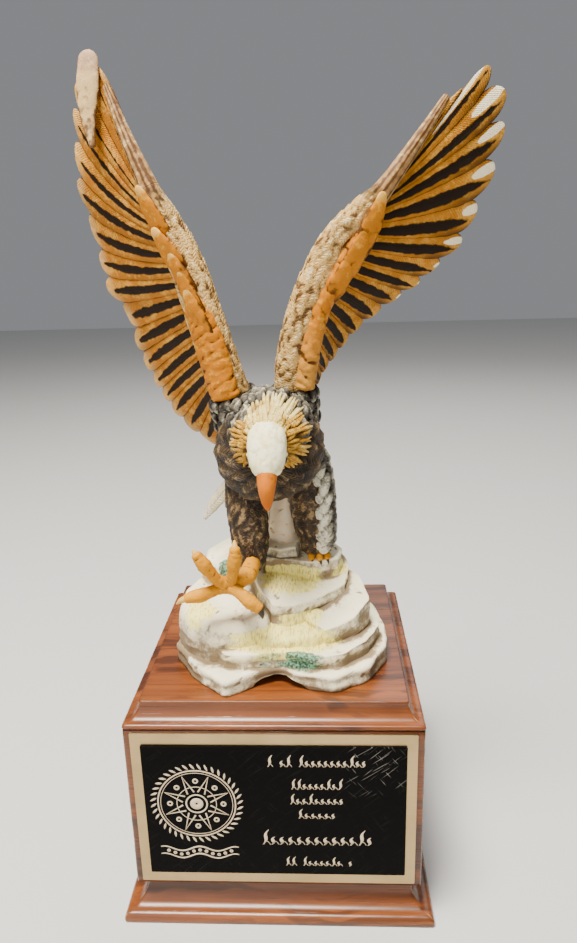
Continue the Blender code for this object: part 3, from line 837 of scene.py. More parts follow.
@cache
def walnut_grain() -> NodeTree:
    """Walnut grain along x of the place it is given.

    Returns:
        The node group.
    """
    tree = Effect("Walnut grain", {"Vector": ("Place",), "Color": ("Dark", "Middle", "Light")},
                  {"Color": ("Colour",), "Float": ("Roughness", "Height")})
    place, dark, middle, light = tree.given
    bent = tree.node("VectorMath", {0: tree.stretched(place, 2.2, 26.0, 26.0), 1: tree.noise(place, 9.0, 3.0)},
                     operation="ADD").outputs[0]
    broad = tree.noise(bent, 1.15, 4.0, 0.55)
    rings = tree.math("MULTIPLY_ADD", tree.math("SINE", broad * 34.0), 0.5, 0.5)
    pore = tree.step(tree.noise(tree.stretched(place, 22.0, 900.0, 900.0), 1.0, 3.0, 0.6), 0.60, 0.74)
    fibre = tree.noise(tree.stretched(place, 9.0, 330.0, 330.0), 1.0, 5.0, 0.62)
    colour = tree.mix(tree.step(broad, 0.34, 0.66), middle, light)
    for share in (tree.step(rings, 0.55, 1.0) * 0.62, tree.step(fibre, 0.40, 0.72) * 0.45, pore * 0.70):
        colour = tree.mix(share, colour, dark)
    rough = tree.math("MULTIPLY_ADD", fibre, 0.16, 0.20)
    return tree.give({"Colour": colour, "Roughness": rough, "Height": fibre * 0.3 - pore})


@cache
def edge_wear_and_highlight() -> NodeTree:
    """Where a finish has rubbed off an edge, and, on the lips' rounds, a painted highlight.

    Returns:
        The node group.
    """
    tree = Effect("Edge wear", {"Vector": ("Place",), "Float": ("Edge", "Amount")}, {"Float": ("Mask",)})
    place, edge, amount = tree.given
    return tree.give({"Mask": tree.step(edge * (tree.noise(place, 95.0, 6.0, 0.7) + amount), 0.78, 0.92)})


class Finish(Tree):
    """A material under work, with its shader."""

    def __init__(self, name: str, constants: dict[str, object]) -> None:
        """Starts a material.

        Args:
            name: Its name.
            constants: Values of the shader that are the same all over.
        """
        self.material = bpy.data.materials.new(name)
        self.material.use_nodes = True
        super().__init__(self.material.node_tree)
        self.join(constants)

    def join(self, values: dict[str, object]) -> Paint:
        """Sets or joins inputs of the shader.

        Args:
            values: A value or signal for each.

        Returns:
            The material.
        """
        for label, value in values.items():
            self.set(self.tree.nodes["Principled BSDF"].inputs[label], value)
        return self.material

    def bump(self, height: object, depth: float, strength: float = 1.0) -> Signal:
        """The normal of a height that is in shares of a depth in metres."""
        made = self.node("Bump", {"Strength": strength, "Distance": depth, "Height": height})
        return Signal(self, made.outputs[0])


@dataclass(frozen=True)
class BrushedPaint:
    """Matt paint with a wash in the hollows, dry-brushed crests and, on feathers, barbs."""

    name: str
    base: Colour
    wash: Colour
    light: Colour
    wash_level: float = 0.32
    light_level: float = 0.80
    barb_pitch: float = 0.0
    barb_tint: float = 0.35
    depth: float = 0.00025
    shine: float = 0.35
    shaft: float = 0.0
    tip: Colour | None = None
    tip_from: float = 0.7
    root: Colour | None = None

    def material(self) -> Paint:
        """The paint by itself."""
        work, colour = self.coat()
        return work.join({"Base Color": colour})

    def coat(self) -> tuple[Finish, Signal]:
        """Starts a material with the paint.

        Returns:
            The material under work, and the paint's colour, which isn't joined yet.
        """
        work = Finish(self.name, {"Specular IOR Level": self.shine})
        place, reach, side = work.place(), work.measure(Measure.REACH), work.measure(Measure.SIDE)
        base: object = self.base
        if self.tip:
            base = work.mix(work.step(reach, self.tip_from, 1.0), base, self.tip)
        if self.root:
            base = work.mix(work.step(reach, 0.45, 0.0), base, self.root)
        paint = work.group(brushed_paint(), {
            "Place": place, "Relief": work.measure(Measure.CREST), "Tone": work.measure(Measure.TONE),
            "Base": base, "Wash": self.wash, "Light": self.light,
            "Wash level": self.wash_level, "Light level": self.light_level,
        })
        colour, height = paint["Colour"], paint["Height"]
        if self.barb_pitch:
            vane = work.group(barbs(), {
                "Place": place, "Barb": work.measure(Measure.BARB), "Side": side, "Pitch": self.barb_pitch,
            })
            colour = work.mix(vane["Line"] * self.barb_tint, colour, self.wash)
            height = height + vane["Height"]
        if self.shaft:
            line = work.step(abs(side), self.shaft, 0.25 * self.shaft)
            colour = work.mix(line * (1 - work.step(reach, 0.55, 0.92)) * 0.85, colour, self.wash)
        work.join({"Roughness": paint["Roughness"], "Normal": work.bump(height, self.depth)})
        return work, colour


@dataclass(frozen=True)
class FlightPaint:
    """Gold-brown flight feathers with dark bars, pale tips and white patches, plainer behind."""

    coat: BrushedPaint
    bar: Colour
    patch: Colour
    behind: Colour
    bar_end: float
    bar_offset: float
    tip_shade: float
    bar_start: float = 0.0
    patch_side: float = 0.36

    def material(self) -> Paint:
        """Builds the paint.

        Returns:
            The material.
        """
        work, colour = self.coat.coat()
        place, reach, side = work.place(), work.measure(Measure.REACH), work.measure(Measure.SIDE)
        bar = work.group(painted_bar(), {
            "Place": place, "Reach": reach, "Side": side, "Half width": work.measure(Measure.BAR),
            "Start": self.bar_start, "End": self.bar_end, "Offset": self.bar_offset,
        })
        back = 1 - work.step(work.measure(Measure.FRONT), 0.35, 0.65)
        colour = work.mix(bar["Mask"], work.mix(back, colour, self.behind, "MULTIPLY"), self.bar)
        if self.tip_shade:
            lower = work.step(side, 0.25, 0.85) * work.step(reach, 0.45, 0.9)
            colour = work.mix(lower * self.tip_shade, colour, self.bar)
        size = work.measure(Measure.PATCH)
        ragged = (work.noise(place, 300.0, 3.0) - 0.5) * 0.07
        far = (reach + ragged - 1.0 + size * 0.45) / (work.math("MAXIMUM", size, 0.01) * 0.55)
        upper = (side + ragged + self.patch_side) / 0.28
        patch = (1 - work.step(far * far + upper * upper, 0.85, 1.05)) * work.step(size, 0.01, 0.03)
        return work.join({"Base Color": work.mix(patch, colour, self.patch)})


@dataclass(frozen=True)
class RockPaint:
    """Chalky stone paint, with painted shade grey-brown in the crevices and on the flanks, and grass and moss painted
    on in patches.
    """

    coat: BrushedPaint
    grass: Colour
    grass_shade: Colour
    moss: Colour

    def material(self) -> Paint:
        """Builds the paint.

        Returns:
            The material.
        """
        work, colour = self.coat.coat()
        place = work.place()
        stroke = work.noise(work.stretched(place, 1250.0, 260.0, 330.0), 1.0, 3.0, 0.6)
        yellow = work.mix(work.step(stroke, 0.34, 0.52), self.grass_shade, self.grass)
        tuft = work.step(work.noise(place, 900.0, 3.0, 0.7), 0.42, 0.58)
        green = work.mix(tuft, tuple(0.10 * v for v in self.moss), self.moss)
        edge = (work.noise(place, 330.0, 4.0) - 0.5) * 0.8
        for measure, growth in ((Measure.PATCH, yellow), (Measure.BAR, green)):
            cover = work.step(work.measure(measure) + edge, 0.42, 0.62)
            colour = work.mix(cover * 0.92, colour, growth)
        return work.join({"Base Color": colour})


@dataclass(frozen=True)
class Walnut:
    """Satin lacquered walnut, rubbed pale along its edges, with a painted highlight on the lips' rounds and painted
    shade from each board's share in shadow.
    """

    name: str
    dark: Colour
    middle: Colour
    light: Colour
    bare: Colour
    worn: float
    wrapped: bool = False

    def material(self) -> Paint:
        """Builds the wood.

        Returns:
            The material.
        """
        work = Finish(self.name, {"Coat Roughness": 0.30, "Coat Weight": 0.42, "Specular IOR Level": 0.3})
        place = along = work.place()
        if self.wrapped:
            x, y, z = work.node("SeparateXYZ", {0: place}).outputs
            facing = work.node("SeparateXYZ", {0: work.node("NewGeometry").outputs["Normal"]}).outputs
            sideways = work.math("GREATER_THAN", *(work.math("ABSOLUTE", facing[k]) for k in (0, 1)))
            front, flank = (work.node("CombineXYZ", dict(enumerate(v))).outputs[0] for v in ((x, z, y), (y, z, x)))
            along = work.node("Mix", {0: sideways, 4: front, 5: flank}, data_type="VECTOR",
                              factor_mode="UNIFORM").outputs[1]
        grain = work.group(walnut_grain(), {
            "Place": along, "Dark": self.dark, "Middle": self.middle, "Light": self.light,
        })
        # The pale rubbed mark is real worn corners and rims; on the lips' rounds it is also a painted highlight.
        wear_and_highlight = work.group(edge_wear_and_highlight(), {
            "Place": place, "Edge": work.measure(Measure.CREST), "Amount": self.worn,
        })["Mask"]
        # Painted shade: the grain is darkened by each row's share in shadow, carried in the tone measure.
        colour = work.shaded(grain["Colour"], 1 - work.measure(Measure.TONE) * 0.72)
        return work.join({
            "Base Color": work.mix(wear_and_highlight * 0.85, colour, self.bare), "Roughness": grain["Roughness"] + wear_and_highlight * 0.3,
            "Normal": work.bump(grain["Height"], 0.00012, 0.7),
        })


@dataclass(frozen=True)
class SatinMetal:
    """Rolled gold-toned metal with fine streaks and dull clouds."""

    name: str
    colour: Colour
    tarnish: Colour
    metallic: float = 1.0
    roughness: float = 0.34

    def material(self) -> Paint:
        """Builds the metal.

        Returns:
            The material.
        """
        work = Finish(self.name, {"Metallic": self.metallic})
        place = work.place()
        line = work.noise(work.stretched(place, 16.0, 1500.0, 1500.0), 1.0, 3.0, 0.6)
        dull = work.step(work.noise(place, 38.0, 4.0, 0.6), 0.35, 0.75)
        colour = work.mix(dull * 0.5, self.colour, self.tarnish)
        return work.join({
            "Base Color": work.mix(work.step(line, 0.55, 0.8) * 0.25, colour, self.tarnish),
            "Roughness": work.math("MULTIPLY_ADD", line, 0.22, self.roughness - 0.11),
            "Normal": work.bump(line, 0.00003, 0.6),
        })


@dataclass(frozen=True)
class BlackEnamel:
    """Gloss black enamel with fine scratches, brightened by a painted reflection towards one upper corner."""

    name: str
    colour: Colour
    # scratch is also the colour of the painted reflection, centred on corner.
    scratch: Colour
    corner: Row

    def material(self) -> Paint:
        """Builds the enamel.

        Returns:
            The material.
        """
        work = Finish(self.name, {"Specular IOR Level": 0.04})
        place = work.place()
        masks = []
        for turn, scale in ((0.6, 34.0), (-0.9, 60.0), (0.75, 26.0)):
            turned = work.node("Mapping", {"Vector": place, "Rotation": (0.0, turn, 0.0)}).outputs[0]
            masks.append(work.step(work.noise(work.stretched(turned, 1.6 * scale, 1.0, 1300.0), 1.0, 1.0), 0.66, 0.74))
        scratch = work.math("ADD", masks[0] + masks[1], masks[2], clamp=True)
        # Painted reflection: near one upper corner the scratches are painted far lighter, as where light glints off
        # them.
        near = work.node("VectorMath", {0: place, 1: self.corner}, operation="DISTANCE").outputs["Value"]
        painted_reflection = work.step(work.math("ADD", near, work.noise(place, 70.0, 3.0) * 0.02), 0.031, 0.018)
        strength = scratch * (painted_reflection * 0.70 + 0.02)
        return work.join({
            "Base Color": work.mix(strength, self.colour, self.scratch),
            "Roughness": work.noise(place, 45.0, 4.0, 0.6) * 0.14 + strength * 0.3 + 0.14,
            "Normal": work.bump(scratch, 0.00001, 0.4),
        })


# The plinth


@dataclass
class Plinth:
    """The walnut base board, box and top board."""

    top_width: float = 0.1524
    box_inset: float = 0.0003
    fit_gap: float = 0.0003
    base_lip_out: float = 0.0066
    base_lip_height: float = 0.0055
    base_cove_run: float = 0.0122
    base_thickness: float = 0.0201
    box_height: float = 0.0947
    top_thickness: float = 0.0116
    top_lip_height: float = 0.0028
    top_cove_run: float = 0.0079
    lip_round: float = 0.6
    corner: float = 0.0009
    per_side: int = 90
    solid_wood: Paint | None = None
    veneer: Paint | None = None

    def dress(self) -> None:
        """Makes the woods."""
        tones = {
            "dark": (0.022, 0.006, 0.002), "middle": (0.120, 0.029, 0.006),
            "light": (0.270, 0.075, 0.013), "bare": (0.60, 0.36, 0.16),
        }
        self.solid_wood = Walnut("Walnut board", **tones, worn=0.36).material()
        self.veneer = Walnut("Walnut panel", **tones, worn=0.40, wrapped=True).material()

    def lipped(self, half: float, low: float, lip_height: float, cove_run: float, high: float) -> list[Row]:
        """Points of a board's edge, from its underside to its top.

        Args:
            half: Half the board's width.
            low: Height of its underside.
            lip_height: Height of its upright lip.
            cove_run: How far the cove and lip run inwards.
            high: Height of its top.

        Returns:
            Rows of half width, height, share worn (on the lip's round also a painted highlight) and share in painted
            shadow.
        """
        lip_top, curve = low + lip_height, self.lip_round * lip_height
        rows = [(half - 0.0006, low, 0.5, 0.3), (half - 0.0001, low + 0.0005, 0.9, 0.1), (half, low + 0.001, 0.45, 0.0),
                (half, lip_top - curve - 0.0002, 0.4, 0.0)]
        for a in (math.pi / 2 * k / 5 for k in range(6)):
            inwards, down = curve * (1 - math.cos(a)), curve * (1 - math.sin(a))
            # The lip's round is worn most at its middle, where the highlight falls: partly real rubbing, partly a
            # painted highlight.
            rows.append((half - inwards, lip_top - down, 0.42 + 0.3 * math.sin(2 * a), 0.0))
        run, rise = cove_run - curve, high - lip_top
        # Painted shade on the cove, deepest where it turns steep at its top.
        for a in (math.pi / 2 * k / 12 for k in range(1, 13)):
            rows.append((half - curve - run * math.sin(a), lip_top + rise * (1 - math.cos(a)), 0.0,
                         0.55 * math.sin(a) ** 3))
        return rows

    def board(self, name: str, rows: list[Row], wood: Paint, node: str, top_edge: float, dents: int) -> None:
        """Makes a square board with eased corners from the rows of its edge.

        Args:
            name: Name of the piece.
            rows: Half width, height, share worn (with the lips' painted highlight) and share in painted shadow, from
                the underside up.
            wood: Its wood.
            node: The solid that it replaces.
            top_edge: How worn its top edge is.
            dents: Seed of its small dents.
        """
        half, high = rows[-1][:2]
        # The underside and the rim of the top get painted shade too, the last number of each row.
        rows = [*((f * rows[0][0], rows[0][1], 0.0, 0.6) for f in (0.0, 0.5)), *rows,
                (half - 0.0004, high, 0.6 * top_edge, 0.15), (half - 0.0012, high, 0.25 * top_edge, 0.1),
                *((half * f, high, 0.0, 0.0) for f in (0.96, 0.85, 0.6, 0.3, 0.0))]
        line = np.linspace(-1, 1, self.per_side)
        line = (np.sign(line) * (1 - (1 - np.abs(line)) ** 1.25))[:-1]
        side = np.stack([line, -np.ones_like(line), np.zeros_like(line)], axis=-1)
        turns = [Matrix.Rotation(math.pi / 2 * k, 3, "Z").transposed() for k in range(4)]
        path = np.concatenate([side @ np.array(turn) for turn in turns])
        nearest = np.minimum(np.abs(path[:, 0]), np.abs(path[:, 1]))
        rings, worn, dark = [], [], []
        for width, z, wear_and_highlight, shade in rows:
            away = (1 - nearest) * width
            ease = np.clip(1 - away / (1.6 * self.corner), 0, 1) ** 2 * self.corner * 0.42 * min(1.0, width / half)
            rings.append(path * np.maximum(width - ease, 0)[:, None] + np.array([0.0, 0.0, z]))
            worn.append(np.maximum(wear_and_highlight, np.exp(-((away / 0.0012) ** 2)) * (0.95 if width > 0.9 * half else 0.0)))
            # Each row's painted shade, handed to the wood as its tone.
            dark.append(np.full(len(path), shade))
        grid, worn = np.stack(rings), np.stack(worn)
        nick = np.clip(clouds(grid, 0.004, dents, 2) - 0.25, 0, 1) * worn
        outward = path[:, :2] / np.linalg.norm(path[:, :2], axis=-1, keepdims=True)
        grid[..., :2] -= outward * (0.0007 * nick[..., None])
        casting = Casting(name)
        casting.add(in_figure(grid), wood, {Measure.CREST: worn, Measure.TONE: np.stack(dark)})
        casting.finish(node, "walnut")

    def build(self) -> None:
        """Makes the three boards."""
        base_half = self.top_width / 2 + self.base_lip_out
        base = self.lipped(base_half, 0.0, self.base_lip_height, self.base_cove_run, self.base_thickness)
        box_half = self.top_width / 2 - self.box_inset
        box_low = self.base_thickness + self.fit_gap
        box_high = box_low + self.box_height
        # The last number of each row is painted shade on the box, darkest at its foot and at its head under the top
        # board.
        box = [(box_half - 0.0004, box_low, 0.3, 0.75), (box_half, box_low + 0.0004, 0.3, 0.75)]
        box += [(box_half, box_low + self.box_height * f, 0.0, s) for f, s in
                ((0.03, 0.55), (0.1, 0.3), (0.3, 0.18), (0.5, 0.15), (0.8, 0.25), (0.95, 0.45))]
        box += [(box_half, box_high - 0.0004, 0.1, 0.7), (box_half - 0.0004, box_high, 0.1, 0.8)]
        top_low = box_high + self.fit_gap
        top = self.lipped(
            self.top_width / 2, top_low, self.top_lip_height, self.top_cove_run, top_low + self.top_thickness
        )
        self.board("base_board_walnut", base, self.solid_wood, "base_board", 0.7, 41)
        self.board("box_walnut", box, self.veneer, "plinth_box", 0.1, 42)
        self.board("top_board_walnut", top, self.solid_wood, "top_board", 0.7, 43)


def upright(flat: Array, depth: float) -> Array:
    """Points of the plate's plane, stood up at a depth."""
    return np.stack([flat[:, 0], np.full(len(flat), depth), flat[:, 1]], axis=-1)


@dataclass
class NamePlate:
    """The gold backing plate, and the black plate with its engraved ornament."""

    gold: Row = (0.0722, -0.0762, -0.0772, 0.0230, 0.1143)
    black: Row = (0.0669, -0.0775, -0.0783, 0.0296, 0.1077)
    relief: float = 0.00005
    star: Row = (-0.0400, 0.0735)
    rows: tuple[Row, ...] = (
        (-0.0036, 0.0470, 0.0962, 0.1030, 16), (0.0081, 0.0349, 0.0828, 0.0890, 9),
        (0.0074, 0.0357, 0.0738, 0.0800, 9), (0.0113, 0.0318, 0.0650, 0.0708, 6),
        (-0.0079, 0.0508, 0.0485, 0.0578, 13), (0.0043, 0.0402, 0.0352, 0.0408, 12),
    )
    engraving: Casting = field(default_factory=lambda: Casting("plate_engraving"))
    metals: dict[str, Paint] = field(default_factory=dict)

    def dress(self) -> None:
        """Makes the metals."""
        finishes = {
            "gold": SatinMetal("Satin gold plate", (0.50, 0.36, 0.18), (0.33, 0.23, 0.11)),
            # The enamel's light scratch colour also paints a reflection round the corner given last.
            "black": BlackEnamel("Black enamel", (0.0022, 0.0019, 0.0018), (0.30, 0.28, 0.25), (0.052, -0.078, 0.097)),
            "line": SatinMetal("Engraved gold lines", (0.78, 0.64, 0.45), (0.60, 0.47, 0.31), 0.55, 0.42),
        }
        self.metals = {name: finish.material() for name, finish in finishes.items()}

    def sheet(self, name: str, sizes: Row, metal: str, node: str, slot: str) -> None:
        """Makes one plate with soft edges.

        Args:
            name: Name of the piece.
            sizes: Half width, back, front, lowest and highest height.
            metal: Its metal.
            node: The solid that it replaces.
            slot: The name of its finish.
        """
        half, back, front, low, high = sizes
        centre = np.array([0.0, 0.0, (low + high) / 2])
        path = self.rounded(half, (high - low) / 2)
        thick = back - front
        rows = [(0.0, back), (0.00005, back), (0.00002, back - 0.2 * thick), (0.0, back - 0.6 * thick),
                (0.00008, front + 0.08 * thick), (0.0003, front)]
        rings = [(path * ((half - inset) / half), y) for inset, y in rows]
        casting = Casting(name)
        casting.add(in_figure(np.stack([upright(ring, y) + centre for ring, y in rings])), self.metals[metal], {})
        for polygon in casting.finish(node, slot).data.polygons:
            polygon.use_smooth = False

    @staticmethod
    def rounded(half: float, tall: float, corner: float = 0.0006, steps: int = 8) -> Array:
        """A rectangle with rounded corners, as points in a plane.

        Args:
            half: Half its width.
            tall: Half its height.
            corner: Radius of its corners.
            steps: Points at each corner.

        Returns:
            The points round it.
        """
        points = []
        for x, y, start in ((1, 1, 0), (-1, 1, 1), (-1, -1, 2), (1, -1, 3)):
            for k in range(steps):
                a = math.pi / 2 * (start + k / (steps - 1))
                points.append((x * (half - corner) + corner * math.cos(a), y * (tall - corner) + corner * math.sin(a)))
        return np.array(points)

    def stroke(self, line: Array, widths: Array | float) -> None:
        """Engraves one line, as a low ribbon on the black plate.

        Args:
            line: Its points in the plate's plane.
            widths: Its half width, at each point or all along.
        """
        way = unit(np.gradient(line, axis=0))
        normal = np.stack([-way[:, 1], way[:, 0]], axis=-1) * np.broadcast_to(widths, len(line))[:, None]
        face = self.black[2]
        layers = ((1, face), (1, face - self.relief), (-1, face - self.relief), (-1, face))
        grid = np.stack([upright(line + side * normal, y) for side, y in layers], axis=1)
        self.engraving.add(in_figure(grid), self.metals["line"], {})

    def ring(self, centre: Row | Array, radius: float, width: float) -> None:
        """Engraves a ring.

        Args:
            centre: Its middle in the plate's plane.
            radius: Its radius.
            width: Its half width.
        """
        a = 2 * math.pi * np.linspace(0, 1, 96)
        self.stroke(np.stack([centre[0] + radius * np.cos(a), centre[1] + radius * np.sin(a)], axis=-1), width)

    def flourishes(self, left: float, right: float, low: float, high: float, count: int, seed: int) -> None:
        """Engraves a row of plain slanted flourishes.

        Args:
            left: Its left end.
            right: Its right end.
            low: Its lowest height.
            high: Its highest height.
            count: How many flourishes.
            seed: Sets one row apart from another.
        """
        pitch, tall = (right - left) / count, high - low
        t = np.linspace(0, 1, 12)
        for k in range(count):
            chance = float(whole_hash(seed, np.array([k]))[0])
            if 0.28 < chance < 0.36 and 0 < k < count - 1:
                continue
            reach = tall * (1.0 if k == 0 or chance > 0.82 else 0.52)
            x = left + pitch * (k + 0.25)
            curve = np.sin(2 * math.pi * t) * 0.16 * pitch
            line = np.stack([x + curve + t * reach * 0.34, low + t * reach], axis=-1)
            self.stroke(line, 0.00012 + 0.085 * tall * np.sin(math.pi * t) ** 1.5)
            if k < count - 1:
                foot = np.stack([x + pitch * (0.1 + 0.75 * t), low + 0.22 * tall * np.sin(math.pi * t)], axis=-1)
                self.stroke(foot, 0.00014)

    def ornament(self) -> None:
        """Engraves an eight-pointed star in rings with a plain ribbon under it, and rows of strokes."""
        x, z = self.star

        def around(radius: float, angle: float) -> Array:
            """A place by its distance from the star's middle and its direction."""
            return np.array([x + radius * math.cos(angle), z + radius * math.sin(angle)])

        for radius, width in ((0.0200, 0.00036), (0.0186, 0.00014), (0.0102, 0.00018)):
            self.ring(self.star, radius, width)
        for a in (math.pi / 4 * k + math.pi / 8 for k in range(8)):
            for turn in (-0.26, 0.26):
                base = around(0.0072, a + turn)
                line = base + (around(0.0178, a) - base) * np.linspace(0, 1, 8)[:, None]
                self.stroke(line, np.linspace(0.00042, 0.00008, 8))
            self.ring(around(0.0138, a + math.pi / 8), 0.0011, 0.00042)
        for a in (2 * math.pi * k / 40 for k in range(40)):
            inner = around(0.0209, a)
            line = inner + (around(0.0240, a + 0.10) - inner) * np.linspace(0, 1, 5)[:, None]
            self.stroke(line, np.array([0.0001, 0.00045, 0.0006, 0.00045, 0.0001]))
        self.ring(self.star, 0.0054, 0.0004)
        self.ring(self.star, 0.0020, 0.0014)
        t = np.linspace(-1, 1, 30)
        for drop in (0.0, 0.0046):
            line = np.stack([x + 0.0205 * t, z - 0.0282 - drop + 0.0014 * np.cos(2.2 * math.pi * t)], axis=-1)
            self.stroke(line, 0.00046 - 0.00016 * np.abs(t))
        for k in range(11):
            wave = 0.0014 * math.cos(2.2 * math.pi * (-0.8 + 0.16 * k))
            self.ring((x - 0.0165 + 0.0033 * k, z - 0.0305 + wave), 0.0006, 0.00034)
        for seed, row in enumerate(self.rows, 1):
            self.flourishes(*row, seed)
        self.engraving.finish("black_plate", "satin_gold")

    def build(self) -> None:
        """Makes the plates and the engraving."""
        self.sheet("gold_backing_plate", self.gold, "gold", "gold_plate", "satin_gold")
        self.sheet("black_name_plate", self.black, "black", "black_plate", "black_enamel")
        self.ornament()


# The eagle and its rock


@dataclass(frozen=True)
class Slab:
    """A worn stone slab with a ragged outline, in figure units."""

    low: float
    high: float
    slope: Row
    worn: Row
    outline: list[Row]
    seed: int = 0

    @property
    def middle(self) -> Array:
        """The mean of the outline's corners."""
        return np.mean(self.outline, axis=0)

    def top(self, place: Array) -> Array:
        """Height of its top at a place."""
        return self.high + (place - self.middle) @ np.array(self.slope, float)

    def rim(self, count: int) -> Array:
        """Its outline as evenly spaced points with softened, chipped corners.

        Args:
            count: How many points.

        Returns:
            Places in the plane.
        """
        corners = np.array(self.outline + [self.outline[0]], float)
        run = np.concatenate([[0], np.cumsum(np.linalg.norm(np.diff(corners, axis=0), axis=1))])
        at = run[-1] * np.arange(count) / count
        line = np.stack([np.interp(at, run, corners[:, k]) for k in range(2)], axis=-1)
        line = 0.5 * line + 0.25 * (np.roll(line, 1, axis=0) + np.roll(line, -1, axis=0))
        away = unit(line - self.middle)
        flat = np.concatenate([line, np.full((count, 1), self.high)], axis=1)
        chip = 1.0 * clouds(flat, 9.0, self.seed + 3, 3) - 0.6 * np.abs(clouds(flat, 5.0, self.seed + 8, 2))
        return line + away * chip[:, None]

    def distance(self, place: Array) -> Array:
        """Distance from places to its outline.

        Args:
            place: Places in the plane.

        Returns:
            The distances, below 0 inside.
        """
        corners = np.array(self.outline, float)
        best, inside = np.full(place.shape[:-1], 1e9), np.zeros(place.shape[:-1], bool)
        for a, b in zip(corners, np.roll(corners, -1, axis=0)):
            edge = b - a
            t = np.clip(((place - a) @ edge) / (edge @ edge), 0, 1)
            best = np.minimum(best, np.linalg.norm(place - a - t[..., None] * edge, axis=-1))
            crosses = (a[1] > place[..., 1]) != (b[1] > place[..., 1])
            x = a[0] + (place[..., 1] - a[1]) / (edge[1] if abs(edge[1]) > 1e-9 else 1e-9) * edge[0]
            inside ^= crosses & (place[..., 0] < x)
        return np.where(inside, -best, best)


@dataclass(frozen=True)
class Growth:
    """A painted patch of grass or moss on the rock: its middle, half widths, heights, whether it is moss, and its turn.
    """

    middle: Row
    half: Row
    heights: Row
    is_moss: bool = False
    turn: float = 0.0

    def cover(self, points: Array) -> Array:
        """How much of it is on each point.

        Args:
            points: Places on the rock.

        Returns:
            Values from 0 to 1.
        """
        flat = points[..., :2] - np.array(self.middle)
        c, s = math.cos(self.turn), math.sin(self.turn)
        u = (flat[..., 0] * c + flat[..., 1] * s) / self.half[0]
        v = (-flat[..., 0] * s + flat[..., 1] * c) / self.half[1]
        near = 1 - np.sqrt(u * u + v * v)
        level = smooth(self.heights[0] - 1, self.heights[0] + 1, points[..., 2])
        level = level * smooth(self.heights[1] + 1, self.heights[1] - 1, points[..., 2])
        return np.clip(0.5 + 0.9 * near, 0, 1) * level


